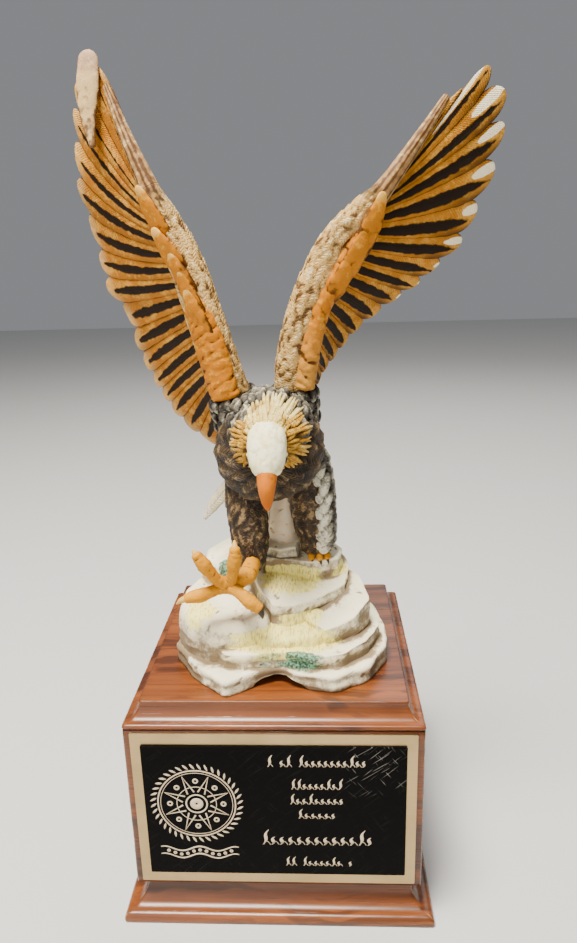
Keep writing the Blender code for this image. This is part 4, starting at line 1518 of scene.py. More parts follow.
@dataclass
class Rock:
    """The stepped rock under the eagle."""

    slabs: dict[str, Slab] = field(default_factory=lambda: {
        "ledge": Slab(0, 10.5, (0, 0.045), (1.6, 2.6), [
            (-24, -65.5), (-8, -55), (2, -50.5), (13, -57.5), (31, -61.5), (50, -50), (61, -30), (61.5, -8), (57, 16),
            (40, 43), (8, 53), (-28, 47), (-50, 26), (-57, -4), (-55.5, -28), (-42, -50)], 1),
        "step": Slab(5, 18.5, (0, 0.06), (0.9, 1.1), [
            (-30, -47), (-26, -52), (-8, -53), (4, -49.5), (20, -54.5), (36, -51.5), (50, -39), (57.5, -22), (50, 6),
            (34, 28), (4, 42), (-34, 34), (-48, 10), (-42, -30)], 2),
        "boulder": Slab(4, 33.5, (-0.02, 0.10), (5.0, 10.0), [
            (-47, -39), (-33, -47.5), (-15, -46), (-2, -41), (2, -24), (-8, 4), (-26, 20), (-46, 10), (-54.5, -10),
            (-54.5, -28)], 3),
        "leaning_slab": Slab(14, 36.5, (-0.02, 0.45), (0.8, 1.0), [
            (17, -35), (27, -43.5), (44, -35), (52, -23), (47, -8), (36, 1), (20, 2), (13, -12)], 4),
        "shelf": Slab(24, 44.5, (-0.03, 0.28), (0.9, 1.3), [
            (-6, -30), (-1, -36.5), (9, -38.5), (26, -30), (39, -19), (42, 0), (30, 20), (2, 26), (-14, 16),
            (-14, -10)], 5),
        "block": Slab(36, 54, (0, 0.04), (1.1, 1.5), [
            (-6, -11), (6, -13.5), (22, -17.5), (35, -12), (37.5, 2), (28, 18), (4, 20), (-8, 8)], 6),
        "footing": Slab(44, 59.5, (-0.02, 0.08), (1.5, 2.5), [
            (-6, -8), (2, -11.5), (12, -9), (14, 3), (4, 12), (-7, 6)], 7),
        "back_rock": Slab(18, 51, (0.26, 0.10), (3.0, 5.0), [
            (-44, 4), (-34, -8), (-20, -6), (-10, 6), (-14, 24), (-32, 28), (-44, 18)], 8),
        "bank": Slab(12, 25.5, (0, 0.42), (2.5, 3.0), [
            (-13, -42), (-4, -46), (8, -47), (20, -45.5), (30, -40), (26, -28), (10, -22), (-8, -24)], 10),
        "rear_step": Slab(6, 29, (0, -0.34), (2.0, 3.0), [
            (-26, 8), (26, 8), (36, 26), (20, 42), (-6, 47), (-30, 38)], 9),
    })
    arch: Row = (3.0, -54.0, 14.0, 16.0, 5.2)
    growths: tuple[Growth, ...] = (
        Growth((8.0, -17.0), (17.0, 12.0), (33.0, 50.0)),
        Growth((31.0, -6.0), (9.0, 7.0), (38.0, 50.0)),
        Growth((4.0, -42.0), (29.0, 11.0), (12.0, 26.0)),
        Growth((14.0, -34.0), (12.0, 8.0), (20.0, 32.0)),
        Growth((-40.0, -33.0), (8.0, 9.0), (22.0, 38.0)),
        Growth((8.0, -54.2), (17.0, 4.4), (8.5, 21.0), True),
        Growth((-28.0, -10.0), (5.0, 7.0), (36.0, 60.0), True, 0.4),
        Growth((6.0, 34.0), (15.0, 7.0), (14.0, 28.0)),
        Growth((28.0, 30.0), (9.0, 6.0), (6.0, 24.0), True),
    )

    def carve(self, casting: Casting, paint: Paint) -> None:
        """Adds the slabs to a casting.

        Args:
            casting: Its casting.
            paint: The stone paint.
        """
        for name, slab in self.slabs.items():
            others = [s for other, s in self.slabs.items() if other != name and s.high > slab.high - 4]
            self._slab(casting, paint, slab, others)

    def _slab(self, casting: Casting, paint: Paint, slab: Slab, others: list[Slab]) -> None:
        """Adds one slab.

        Args:
            casting: Its casting.
            paint: The stone paint.
            slab: The slab.
            others: Those that may stand on it.
        """
        count = 11 * max(len(slab.outline), 9)
        rim = slab.rim(count)
        away = rim - slab.middle
        length = np.linalg.norm(away, axis=1, keepdims=True)
        outward = away / length
        inset_full, drop = slab.worn
        edge_top = slab.top(rim)
        shoulder = edge_top - drop
        levels = [(0.0, k / 8, 0.0) for k in range(9)]
        quarter = (math.pi / 2 * k / 4 for k in range(1, 5))
        levels += [(inset_full * (1 - math.cos(a)), 1.0, math.sin(a)) for a in quarter]
        grid, normals = [], []
        for inset, share, over in levels:
            place = rim - outward * inset
            z = slab.low + (shoulder - slab.low) * share + (slab.top(place) - shoulder) * over
            grid.append(np.concatenate([place, z[:, None]], axis=1))
            rise = np.full((count, 1), over**2 + 0.001)
            normals.append(np.concatenate([outward * (1 - 0.8 * over**2), rise], axis=1))
        reach = inset_full / length
        for f in (0.05, 0.11, 0.18, 0.27, 0.38, 0.50, 0.64, 0.80, 0.94):
            place = rim - away * (reach + (1 - reach) * f)
            grid.append(np.concatenate([place, slab.top(place)[:, None]], axis=1))
            normals.append(np.concatenate([outward * 0.0, np.ones((count, 1))], axis=1))
        points, normal = np.stack(grid), unit(np.stack(normals))
        strata = np.sin(2 * math.pi * (points[..., 2] / 6.5 + 0.5 * clouds(points * [0.25, 0.25, 0.6], 6.0, slab.seed)))
        flank = 1 - np.abs(normal[..., 2])
        broad = clouds(points, 14.0, slab.seed + 20, 3)
        facet = np.abs(clouds(points, 10.0, slab.seed + 40, 1))
        pits = np.clip(clouds(points, 2.6, slab.seed + 60, 2) - 0.42, 0, 1)
        push = 0.6 * broad - 1.3 * facet * (0.3 + 0.7 * flank) - 1.2 * pits + 0.35 * strata * flank
        push = push * np.where(points[..., 2] < slab.low + 0.5, 0.3, 1.0)
        points = points + normal * push[..., None]
        points[..., 2] = np.maximum(points[..., 2], slab.low)
        if slab.low < 6 and slab.seed < 3:
            x, y, half_x, half_y, tall = self.arch
            in_arch = np.clip(1 - ((points[..., 0] - x) / half_x) ** 2, 0, 1)
            roof = tall * np.sqrt(in_arch) * np.clip(1 - np.abs(points[..., 1] - y) / half_y * 0.6, 0, 1)
            points[..., 2] = np.maximum(points[..., 2], roof)
        # Painted shade: the stone darkens next to the foot of each higher slab that stands on it.
        contact_shade = np.zeros(points.shape[:2])
        for other in others:
            gap = np.clip(other.distance(points[..., :2]), 0, None)
            under = (points[..., 2] < other.top(points[..., :2]) - 1.5) & (points[..., 2] > other.low - 7)
            contact_shade = np.maximum(contact_shade, np.where(under, np.exp(-gap / 1.8), 0))
        # Painted shade on the slabs' steep sides, stronger low down.
        low_side = smooth(shoulder[None, :] - 1.0, shoulder[None, :] - 7.0, points[..., 2])
        crest = 0.80 + 0.14 * broad - 0.20 * facet - 1.6 * pits + 0.05 * strata * flank
        crest = crest - 0.62 * contact_shade - (0.20 + 0.18 * low_side) * smooth(0.42, 0.66, flank)
        covers = ([g.cover(points) for g in self.growths if g.is_moss is kind] for kind in (True, False))
        moss, grass = (np.max(cover, axis=0) for cover in covers)
        blades = cloud(points * [1.0, 0.30, 0.5], 1.3, 77)
        points = points + normal * ((0.6 + 0.9 * blades) * smooth(0.4, 0.7, np.maximum(grass, moss)))[..., None]
        casting.add(points, paint, {
            Measure.CREST: np.clip(crest, 0, 1), Measure.TONE: 0.5 + 0.3 * broad, Measure.PATCH: grass,
            Measure.BAR: moss, Measure.FRONT: 1.0,
        })


@dataclass
class Eagle:
    """The eagle, cast as one with its rock, without its wings."""

    rock: Rock = field(default_factory=Rock)
    shoulders: list[list[Row]] = field(default_factory=list)
    paints: dict[str, Paint] = field(default_factory=dict)
    casting: Casting = field(default_factory=lambda: Casting("eagle_and_rock_painted"))
    shoulder_side: Row = (0.88, 0.4, 0.0)
    body: Spine = (
        (-1.5, -33, 113, 13, 12), (-1.5, -25, 115, 24, 21), (-1.5, -10, 117, 27.5, 25), (-1, 10, 110, 25, 22),
        (-1, 28, 100, 19, 15), (-1, 44, 90, 13, 9), (-1, 56, 81, 9, 4.5))
    body_axis: Row = (0.0, 0.96, -0.28)
    neck: Spine = (
        (-1, -8, 134, 20, 16), (-0.5, -18, 131, 21, 18), (0, -28, 129, 20, 16.5), (0, -36, 127.5, 17, 13.5),
        (0, -42, 126.5, 8, 8))
    neck_axis: Row = (0.0, -0.96, -0.28)
    hood: Spine = (
        (-0.4, -25, 132.5, 14.4, 13.2), (0, -31, 130, 15.8, 14.2), (0.4, -37, 128, 15.2, 12.8), (0.4, -43, 127, 9.4, 9))
    head: Spine = (
        (-0.5, -20, 136, 6, 5), (-0.5, -29, 137.5, 7.8, 6.5), (-0.4, -38, 133.5, 8.6, 7.6),
        (-0.3, -44.5, 127, 8.8, 8.4), (-0.1, -49, 120.5, 8.2, 8), (0, -51.5, 115.5, 6.2, 6))
    cap: Spine = (
        (0.1, -43, 136, 7.2, 4.5), (0.1, -46.5, 131, 9.0, 6.5), (0.1, -49.5, 125, 9.2, 7.4),
        (0.1, -51.8, 119.5, 8.4, 7.2), (0.2, -53.2, 114.6, 6.4, 6.0))
    beak: Spine = (
        (0, -51.5, 118.0, 5.6, 5.4), (0.1, -54.8, 114.4, 5.0, 5.2), (0, -57.5, 108.5, 4.2, 4.2),
        (0, -57.5, 102, 2.8, 2.8), (0, -55.2, 97.5, 1.2, 1.1))
    raised_leg: Spine = (
        (-14.5, -3, 112, 9, 12), (-15.2, -11, 94, 9.6, 11.5), (-14, -17, 77, 9, 9.8), (-12.6, -20, 64, 7.8, 8.2),
        (-11.5, -22, 52, 4.6, 5))
    standing_leg: Spine = (
        (15.5, 0, 112, 10, 13), (19.5, -3, 94, 11.4, 12), (21.5, -4, 77, 10.8, 11), (22.5, -5, 65, 9, 9.2),
        (22.5, -6, 54, 5.6, 6))
    braid: Spine = (
        (21.0, -6, 113, 5.0, 7), (25.2, -7.5, 98, 5.0, 6.5), (26.2, -7.5, 80, 4.8, 6.5), (26.6, -8, 68, 4.6, 6),
        (26.2, -8, 59, 3.8, 5))
    shank: Spine = (
        (-11.8, -20, 58, 3.8, 3.8), (-11.8, -32, 57.5, 4.2, 4.2), (-13.5, -40.5, 56, 4.7, 4.7),
        (-20.5, -43.5, 52.5, 3.4, 3.4))
    palm: Row = (-22.0, -44.0, 52.0)
    column: Spine = (
        (3, 5, 42, 12, 11), (3.2, 5, 57, 9.4, 9), (3.6, 4, 66, 7.6, 7.5), (4.6, 3, 78, 6, 6.5), (5.6, 2, 88, 4.6, 5.5),
        (6, 1, 99, 3.6, 5))

    def dress(self) -> None:
        """Makes the paints."""
        dark = (0.008, 0.005, 0.003)
        coats = (
            ("body", "Dark feather paint", (0.052, 0.030, 0.011), dark, (0.27, 0.185, 0.085),
             (0.48, 0.76, 1.0, 0.4), {"depth": 0.0005}),
            ("shoulder", "Grey-brushed feather paint", (0.105, 0.088, 0.060), dark, (0.56, 0.52, 0.40),
             (0.48, 0.72, 1.0, 0.4), {}),
            ("leg", "Shaggy leg paint", (0.042, 0.023, 0.009), dark, (0.32, 0.205, 0.085), (0.50, 0.76, 1.0, 0.4), {}),
            ("braid", "Grey-brushed leg paint", (0.25, 0.225, 0.16), dark, (0.78, 0.74, 0.58),
             (0.46, 0.66, 1.0, 0.2), {}),
            ("ruff", "Gold hackle paint", (0.52, 0.26, 0.022), (0.040, 0.013, 0.002), (0.84, 0.60, 0.18),
             (0.50, 0.74, 0.9, 0.35), {"shine": 0.12}),
            ("crown", "Ivory crown paint", (0.90, 0.82, 0.44), (0.38, 0.25, 0.08), (0.98, 0.95, 0.70),
             (0.22, 0.66), {"depth": 0.0004, "shine": 0.15}),
            ("hackle", "Pale hackle paint", (0.78, 0.58, 0.17), (0.20, 0.095, 0.015), (0.94, 0.86, 0.44),
             (0.48, 0.72, 0.9, 0.25), {"shine": 0.15}),
            ("beak", "Orange beak paint", (0.56, 0.150, 0.003), (0.20, 0.045, 0.003), (0.70, 0.27, 0.01),
             (0.26, 0.86), {"shine": 0.12, "tip": (0.42, 0.085, 0.001), "tip_from": 0.45}),
            ("foot", "Yellow foot paint", (0.62, 0.255, 0.003), (0.20, 0.060, 0.002), (0.76, 0.42, 0.03),
             (0.34, 0.95), {"shine": 0.15}),
            ("nail", "Yellow claw paint", (0.66, 0.38, 0.08), (0.30, 0.12, 0.02), (0.80, 0.56, 0.22),
             (0.2, 0.8), {"shine": 0.3}),
            ("claw", "Black claw paint", (0.020, 0.014, 0.010), (0.004, 0.003, 0.002), (0.10, 0.08, 0.06),
             (0.2, 0.9), {"shine": 0.6}),
            ("tail", "Cream tail paint", (0.76, 0.66, 0.42), (0.24, 0.14, 0.06), (0.90, 0.84, 0.66),
             (0.26, 0.72, 1.3, 0.15), {"shaft": 0.08}),
            ("column", "Pinkish stone paint", (0.90, 0.70, 0.46), (0.28, 0.17, 0.09), (0.86, 0.76, 0.60),
             (0.40, 0.78), {}),
            ("eye", "Eye paint", (0.012, 0.008, 0.006), (0.004, 0.003, 0.002), (0.05, 0.04, 0.03), (), {"shine": 1.0}),
        )
        for key, name, base, wash, light, levels, rest in coats:
            self.paints[key] = BrushedPaint(name, base, wash, light, *levels, **rest).material()
        # The stone's wash colour also paints the shade in the rock's crevices and on its flanks.
        stone = BrushedPaint("Chalky stone paint", (0.92, 0.84, 0.58), (0.20, 0.13, 0.065), (0.98, 0.95, 0.80),
                             0.50, 0.82, depth=0.00045, shine=0.15)
        self.paints["rock"] = RockPaint(stone, (0.98, 0.88, 0.26), (0.62, 0.46, 0.085), (0.17, 0.40, 0.25)).material()

    def limb(self, paint: str, relief: float, *sizes: object, lines: Row = (), **rest: object) -> None:
        """Carves a part of the figure.

        Args:
            paint: Its paint.
            relief: Height of its chance unevenness, in mm.
            sizes: The limb's own sizes.
            lines: How many ridges run round it, how deep the lines between them are, and how far they lean.
            rest: More of its own sizes, by name.
        """
        Limb(*sizes, **rest).carve(self.casting, self.paints[paint], relief, *lines)

    def build(self) -> None:
        """Carves the figure and its rock."""
        self.rock.carve(self.casting, self.paints["rock"])
        body = Plumage(10, 14, 2.6, 1.75, 1.3, 2.4, 0.35, 0.6, seed=11)
        self.limb("body", 0.6, self.body, body, 70, 88, (4.0, 2.0), axis=self.body_axis)
        scales = Plumage(4.5, 9, 2.0, 1.7, 1.3, 2.4, 0.3, 0.7, seed=13)
        for number, knots in enumerate(self.shoulders):
            axis, knots = tuple(knots[2][5:8]), [k[:5] for k in knots]
            self.limb("shoulder", 0.15, knots, scales, 34, 64, (3.0, 0.0), self.shoulder_side, axis, fade=(0.04, 0.02))
            self._scales(knots, axis, 31 + number)
        neck = Plumage(4.2, 12, 2.4, 2.0, 1.4, 2.4, 0.3, 0.7, 0.3, True, 17)
        self.limb("shoulder", 0.15, self.neck, neck, 32, 60, (3.0, 2.0), axis=self.neck_axis, grow=-1.6)
        leaf = Lock(2.6, 1.4, 0.6, 0.4, 0.8, 0.5, 6, 8)
        for k in range(30):
            chance = chances(83, k, 3)
            angle, t = -90 + 180 * (k % 10 + chance[0]) / 10, (0.02, 0.15, 0.28)[k // 10]
            start, _ = on_skin(self.neck, t + 0.17, angle, -0.6, SIDEWAYS, self.neck_axis)
            stop, face = on_skin(self.neck, t, angle + 14 * (chance[1] - 0.5), 0.8, SIDEWAYS, self.neck_axis)
            leaf.carve(self.casting, self.paints["shoulder"], start, stop, face, chance[2])
        crown = Plumage(7, 16, 0.6, 2.2, 1.3, 2.8, 0.4, 0.35, 0.3, True, 19)
        self.limb("hackle", 0.15, self.head, crown, 26, 44, (2.5, 2.5))
        strands = Plumage(6, 20, 0.4, 2.4, 1.3, 2.8, 0.5, 0.4, 0.4, True, 27)
        self.limb("crown", 0.3, self.cap, strands, 44, 56, (2.2, 1.6))
        self._hackles()
        self.limb("beak", 0.12, self.beak, None, 30, 32, (0.5, 0.9))
        shag = Plumage(6.5, 13, 2.3, 2.3, 1.25, 3.0, 0.45, 0.5, 0.6, seed=23)
        for leg in (self.raised_leg, self.standing_leg):
            self.limb("leg", 0.15, leg, shag, 50, 66, (1.0, 2.0))
        self._braid()
        self.limb("column", 0.5, self.column, None, 40, 32, (0.0, 0.0), lines=(8, 0.6))
        self._eyes()
        self._feet()
        self._tail()
        self.casting.finish("eagle_and_rock", "painted_resin")

    def _scales(self, knots: Spine, axis: Row, seed: int) -> None:
        """Adds the thick scale feathers round a shoulder, the last of them over the wing's joint.

        Args:
            knots: The shoulder's spine.
            axis: The way that it runs.
            seed: Its chance numbers.
        """
        leaf = Lock(2.7, 1.3, 0.6, 0.2, 0.6, 0.35)
        for row, (t, reach) in enumerate(((0.34, 0.22), (0.62, 0.22), (0.86, 0.24))):
            for k in range(11):
                chance = chances(seed, 20 * row + k, 3)
                angle = 360 / 11 * (k + 0.5 * (row % 2) + 0.25 * (chance[0] - 0.5))
                top = min(t + reach * (0.8 + 0.4 * chance[1]), 1.04)
                start, _ = on_skin(knots, top, angle, 0.9, self.shoulder_side, axis)
                stop, face = on_skin(knots, t, angle + 6 * (chance[2] - 0.5), 1.4, self.shoulder_side, axis)
                leaf.carve(self.casting, self.paints["shoulder"], start, stop, face, chance[1])

    def _braid(self) -> None:
        """Adds the stacked grey feathers down the outside of the standing leg."""
        self.limb("braid", 0.15, self.braid, None, 26, 32, (2.0, 2.0))
        leaf = Lock(3.7, 2.6, 0.80, 0.3, 1.1, 0.6)
        for row in range(7):
            for k, (first, last) in enumerate(((-70, -14), (58, 10), (70, 112), (150, 118))):
                chance = chances(41, 7 * row + k, 3)
                t = 0.03 + 0.134 * row + 0.067 * (k % 2) + 0.02 * (chance[0] - 0.5)
                start, _ = on_skin(self.braid, max(t - 0.04, 0.0), first, -1.2)
                stop, face = on_skin(self.braid, min(t + 0.07, 1.0), last, 0.9 + 0.8 * chance[1])
                leaf.carve(self.casting, self.paints["braid"], start, stop, face, chance[2])

    def _hackles(self) -> None:
        """Adds the wavy hackles that spread from the face: a lobe on each side and a pale crest above."""
        hood = Plumage(2.2, 44, 0.9, 1.9, 1.3, 2.6, 0.5, 0.6, 0.3, True, 29)
        self.limb("hackle", 0.15, self.hood, hood, 22, 88, (1.5, 1.5), axis=self.neck_axis)
        lobes = (
            ("ruff", 46, 154, 17, 8.4, (20.5, 22.2, 20.6, 19.4, 16.5), -43.5, -35.5),
            ("ruff", -52, -148, 15, 8.4, (18.5, 19.2, 19.2, 18.6, 17.0), -43.5, -35.5),
            ("ruff", 42, 158, 15, 7.4, (14.8, 16.2, 15.6, 14.2, 12.5), -46.6, -40.0),
            ("ruff", -46, -152, 13, 7.4, (13.6, 14.4, 14.4, 13.6, 12.0), -46.6, -40.0),
            ("hackle", -66, 58, 34, 6.5, (18.6, 19.2, 21.4, 23.0, 20.6), -45.5, -26.0),
            ("hackle", -60, 50, 28, 6.5, (15.2, 16.4, 18.4, 19.0, 17.0), -46.5, -31.5),
            ("hackle", -56, 48, 22, 6.0, (12.2, 13.4, 14.4, 14.6, 13.4), -48.0, -38.0),
        )
        for seed, (paint, first, last, count, near, outer, front, back) in enumerate(lobes, 1):
            leaf = Lock(1.3, 0.95, 0.40, 0.6, 1.3 if paint == "ruff" else 2.9, 0.3, 6, 7)
            for k in range(count):
                share, chance = k / (count - 1), chances(seed, k, 4)
                a = math.radians(first + (last - first) * share + 5 * (chance[0] - 0.5))
                b = a + math.radians(8 * (chance[3] - 0.5))
                far = part_way(outer, share) + 1.4 * (chance[1] - 0.5)
                start = (near * math.sin(a), front, 127.0 + near * math.cos(a))
                stop = (far * math.sin(b), back, 127.0 + far * math.cos(b))
                face = (0.35 * math.sin(a), -0.8, 0.25 + 0.35 * math.cos(a))
                leaf.carve(self.casting, self.paints[paint], start, stop, face, chance[2])

    def _eyes(self) -> None:
        """Adds the small eyes under the brows."""
        for side in (-1, 1):
            x = side * 8.3
            eye = [(x, -47.4, 121.0, 1.1, 1.1), (x, -48.8, 120.2, 1.5, 1.5), (x, -50.0, 119.2, 1.0, 1.0)]
            self.limb("eye", 0.0, eye, None, 8, 14, (0.7, 0.7), steps=4)
            brow = [(side * 6.8, -52.4, 123.4, 1.0, 1.0), (side * 8.6, -50.2, 123.2, 1.3, 1.1),
                    (side * 9.2, -47.0, 122.6, 0.9, 0.9)]
            self.limb("crown", 0.12, brow, None, 16, 14, (0.6, 0.6), UPWARDS, steps=4)

    def _toe(self, points: list[Row], radius: float, claw: list[Row], claw_paint: str = "claw") -> None:
        """Adds a toe and its claw.

        Args:
            points: The toe's line.
            radius: Its radius.
            claw: The claw's line.
            claw_paint: The claw's paint.
        """
        lean = (0.6, 0.5, 0.62)
        knots = [(*p, radius * s, radius * s) for p, s in zip(points, (1.3, 0.86, 1.10, 0.78))]
        self.limb("foot", 0.5, knots, None, 34, 20, (1.0, 1.4), lean, lines=(9, 0.42, 0.2))
        talon = [(*p, radius * s, radius * s) for p, s in zip(claw, (0.75, 0.5, 0.16))]
        self.limb(claw_paint, 0.05, talon, None, 12, 10, (0.4, 0.3), lean, steps=4)

    def _feet(self) -> None:
        """Adds the reaching foot with its shank, and the gripping foot."""
        self.limb("foot", 0.35, self.shank, None, 34, 24, (0.5, 0.5), UPWARDS, lines=(8, 0.14))
        for radius, paint, *points in (
            (3.0, "nail", (-28, -48, 57.5), (-33, -51, 66.0), (-36.8, -52, 72.5),
             (-36.2, -51.5, 71.5), (-37.6, -52, 73.6), (-38.9, -50.6, 74.3)),
            (3.0, "nail", (-20.0, -47.5, 59), (-18.2, -50, 68), (-17.6, -50.5, 75),
             (-17.7, -50.5, 73.8), (-17.8, -49.5, 76.5), (-18.0, -47.0, 78.0)),
            (3.1, "claw", (-17.0, -48.5, 50.5), (-11.0, -51.5, 46.4), (-6.4, -52, 43.0),
             (-7.0, -52, 43.5), (-5.2, -52, 40.0), (-5.2, -49.5, 36.2)),
            (3.0, "nail", (-28.5, -46.5, 50.8), (-37.0, -49.5, 49.2), (-43.5, -50.5, 48.0),
             (-42.5, -50.5, 48.4), (-46.5, -50.5, 46.8), (-49.0, -49.8, 44.6)),
        ):
            self._toe([self.palm, *points[:3]], radius, points[3:], paint)
        heel = (23.0, -7.0, 56.0)
        for x, y in ((20.0, -14.0), (24.5, -14.8), (28.5, -13.0)):
            middle = ((heel[0] + x) / 2, (heel[1] + y) / 2, 56.5)
            self._toe([heel, middle, (x, y + 1.5, 55.2), (x, y - 0.6, 54.0)], 1.4,
                      [(x, y - 0.4, 54.2), (x * 1.02, y - 1.8, 53.0), (x * 1.03, y - 1.8, 51.2)])

    def _tail(self) -> None:
        """Adds the tail fan, with one long feather that stands out of it."""
        facing = [(x, -0.78, z) for x, z in ((0.25, 0.55), (0.1, 0.62), (0, 0.62), (-0.1, 0.62), (-0.25, 0.55))]
        Fan([(-15, 38, 88), (-9, 45, 87), (-1, 47, 88), (5, 45, 87), (11, 38, 88)],
            [(-26, 55, 47), (-20, 62, 40), (-14, 66, 34), (-5, 68, 32), (9, 66, 34), (19, 61, 41), (27, 52, 52)],
            [(0, 3, -1), (0, 3, -1)], facing, 6, 1.0, (3.4, 1.8), (0.30, 0.22), rings=34, front=13, seed=37,
            ).carve(self.casting, self.paints["tail"])
        outer = [(-24, 38, 90, 3.2, 1.6), (-30.2, 42, 82.0, 3.9, 1.6), (-36.5, 45, 73.5, 4.4, 1.5),
                 (-43.5, 47.5, 64.5, 3.6, 1.3), (-49.5, 50, 55.5, 1.3, 0.9)]
        self.limb("tail", 0.25, outer, None, 36, 26, (0.5, 1.0), (0.78, -0.3, -0.55), flat=True)


class Side(Enum):
    """The viewer's side that a wing is on."""

    LEFT = "left"
    RIGHT = "right"


@dataclass
class Wing:
    """A raised wing, cast by itself: its arm, flight feathers and coverts."""

    side: Side
    edge: list[Row]
    chord: Row
    roots: Row
    tips: list[Row]
    bow: list[Row]
    facing: list[Row]
    shoulder: Row
    bars: Row
    patches: Row
    covert_reach: Row
    ridge: list[Row]
    leaves: list[tuple[float, Row, Row]]
    seed: int
    lobe: list[Row] = field(default_factory=list)
    smooth_from: float = 0.66
    flight_root: float = 0.45
    shoulder_swell: float = 0.8
    fit_gap: float = 0.3
    paints: dict[str, Paint] = field(default_factory=dict)

    @property
    def arm(self) -> Array:
        """The spine of the arm, worked out from its leading edge."""
        step = unit(self.chord)
        return np.array([(*(np.array(row[:3]) + step * row[3]), row[3], row[4]) for row in self.edge])

    def shoulder_knots(self) -> list[Row]:
        """The spine of the shoulder that it is glued to.

        Returns:
            Its rows, each with the way of the arm after it.
        """
        arm = self.arm
        centre, along, _, _ = frames(arm, 0.0, self.chord)
        end = np.array([*(centre - along * self.fit_gap), *(arm[0][3:] + self.shoulder_swell)])
        start = np.array(self.shoulder, float)
        middle = (start + end) / 2 + np.array([0, 0, 0, 0.6, 0.6])
        return [(*row, *along) for row in (start, middle, end)]

    def dress(self) -> None:
        """Makes the paints."""
        left = self.side is Side.LEFT
        coats = (
            ("flight", " flight feather paint", (0.36, 0.125, 0.005) if left else (0.44, 0.165, 0.008),
             (0.060, 0.020, 0.003), (0.66, 0.33, 0.045), (0.38, 0.84, 1.15, 0.34, 0.00014, 0.12),
             {"tip": (0.58, 0.36, 0.14), "tip_from": 0.80} if left else {"tip": (0.44, 0.21, 0.03), "tip_from": 0.82}),
            ("covert", " covert paint", (0.58, 0.36, 0.115), (0.075, 0.030, 0.008), (0.80, 0.64, 0.34),
             (0.46, 0.78, 1.1, 0.22), {"shine": 0.15, "tip": (0.36, 0.20, 0.075), "tip_from": 0.80,
                                       "root": (0.34, 0.155, 0.030)}),
            ("ridge", " under covert paint", (0.46, 0.150, 0.002), (0.060, 0.018, 0.002), (0.68, 0.31, 0.02),
             (0.42, 0.86), {"shine": 0.12, "root": None if left else (0.48, 0.22, 0.035)}),
            ("leaf", " larger covert paint", (0.46, 0.160, 0.003), (0.055, 0.017, 0.003), (0.68, 0.33, 0.03),
             (0.40, 0.84), {"shine": 0.12, "tip": (0.66, 0.37, 0.09), "tip_from": 0.90}),
            ("lead", " leading feather paint", (0.56, 0.38, 0.17), (0.12, 0.050, 0.014), (0.72, 0.53, 0.29),
             (0.44, 0.88), {"shine": 0.15, "tip": (0.42, 0.26, 0.155), "tip_from": 0.74}),
        )
        for key, name, base, wash, light, levels, rest in coats:
            coat = BrushedPaint(self.side.value.capitalize() + name, base, wash, light, *levels, **rest)
            if key == "flight":
                bars = (0.92, 0.10, 0.0) if left else (0.98, 0.22, 0.75)
                coat = FlightPaint(coat, (0.013, 0.0065, 0.0028), (0.92, 0.81, 0.56), (0.45, 0.40, 0.36), *bars)
            self.paints[key] = coat.material()

    def _ridge(self, casting: Casting, front: Array) -> None:
        """Adds the wrinkled fold of small under coverts along the arm, and the larger ones above it.

        Args:
            casting: The wing.
            front: The side of the arm that it is on.
        """
        Limb(self.ridge, None, 150, 44, (2.0, 2.0), self.chord, steps=4).carve(
            casting, self.paints["ridge"], 0.5, scutes=12, depth=1.05, slant=0.6)
        for k, (half, root, tip) in enumerate(self.leaves):
            Lock(half, 1.5, 0.50, 0.3, 0.9, 0.45, 26, 24).carve(
                casting, self.paints["leaf"], root, tip, front + np.array((0.25 * self.chord[0], 0, 0)), 0.21 * k)

    def _coverts(self, front: Array) -> Fan:
        """The row of short feathers over the roots of the flight feathers.

        Args:
            front: The side of the arm that it is on.

        Returns:
            The row.
        """
        arm, roots, tips = self.arm, [], []
        for share in (k / 11 for k in range(12)):
            t = 0.05 + (0.74 - 0.05) * share
            centre, along, side, _ = frames(arm, t, self.chord)
            half, deep = spline(arm, t)[3:]
            face = unit(front - along * float(np.dot(front, along)))
            far = part_way(tuple(0.9 * v + 3 for v in self.covert_reach), share)
            roots.append(centre + side * half * -0.3 + face * deep * 0.55)
            tips.append(centre + side * (half + far) + face * 4.4 + along * far * 0.75)
        return Fan(np.array(roots), np.array(tips), [tuple(front * 3.2)] * 2, [tuple(front)] * 2, 15, 1.0,
                   (3.2, 1.9), (0.34, 0.34), 0.30, rings=26, front=15, wrinkles=0.1, seed=self.seed + 2)

    def build(self) -> None:
        """Carves the wing."""
        casting = Casting(self.side.value + "_wing_painted")
        arm, chord = self.arm, self.chord
        front = unit(self.facing[1])
        roots = []
        for t in self.roots:
            centre, _, side, _ = frames(arm, t, chord)
            roots.append(centre + side * float(spline(arm, t)[3]) * self.flight_root)
        Fan(np.array(roots), self.tips, self.bow, self.facing, len(self.tips), 0.62, (3.4, 1.5), (0.20, 0.10),
            0.16, self.bars, self.patches, 66, 21, seed=self.seed).carve(casting, self.paints["flight"])
        self._ridge(casting, front)
        self._coverts(-front).carve(casting, self.paints["covert"])
        scales = Plumage(24, 12, 1.25, 1.9, 1.3, 2.5, 0.62, 0.55, 0.3, seed=self.seed + 3)
        Limb(arm.tolist(), scales, 200, 72, (0.0, 1.2), chord, fade=(0.01, 0.03), plain_from=self.smooth_from).carve(
            casting, self.paints["covert"])
        if self.lobe:
            Limb(self.lobe, None, 40, 40, (1.0, 5.0), flat=True).carve(
                casting, self.paints["lead"], 0.3)
        casting.finish(self.side.value + "_wing", "feather_paint")


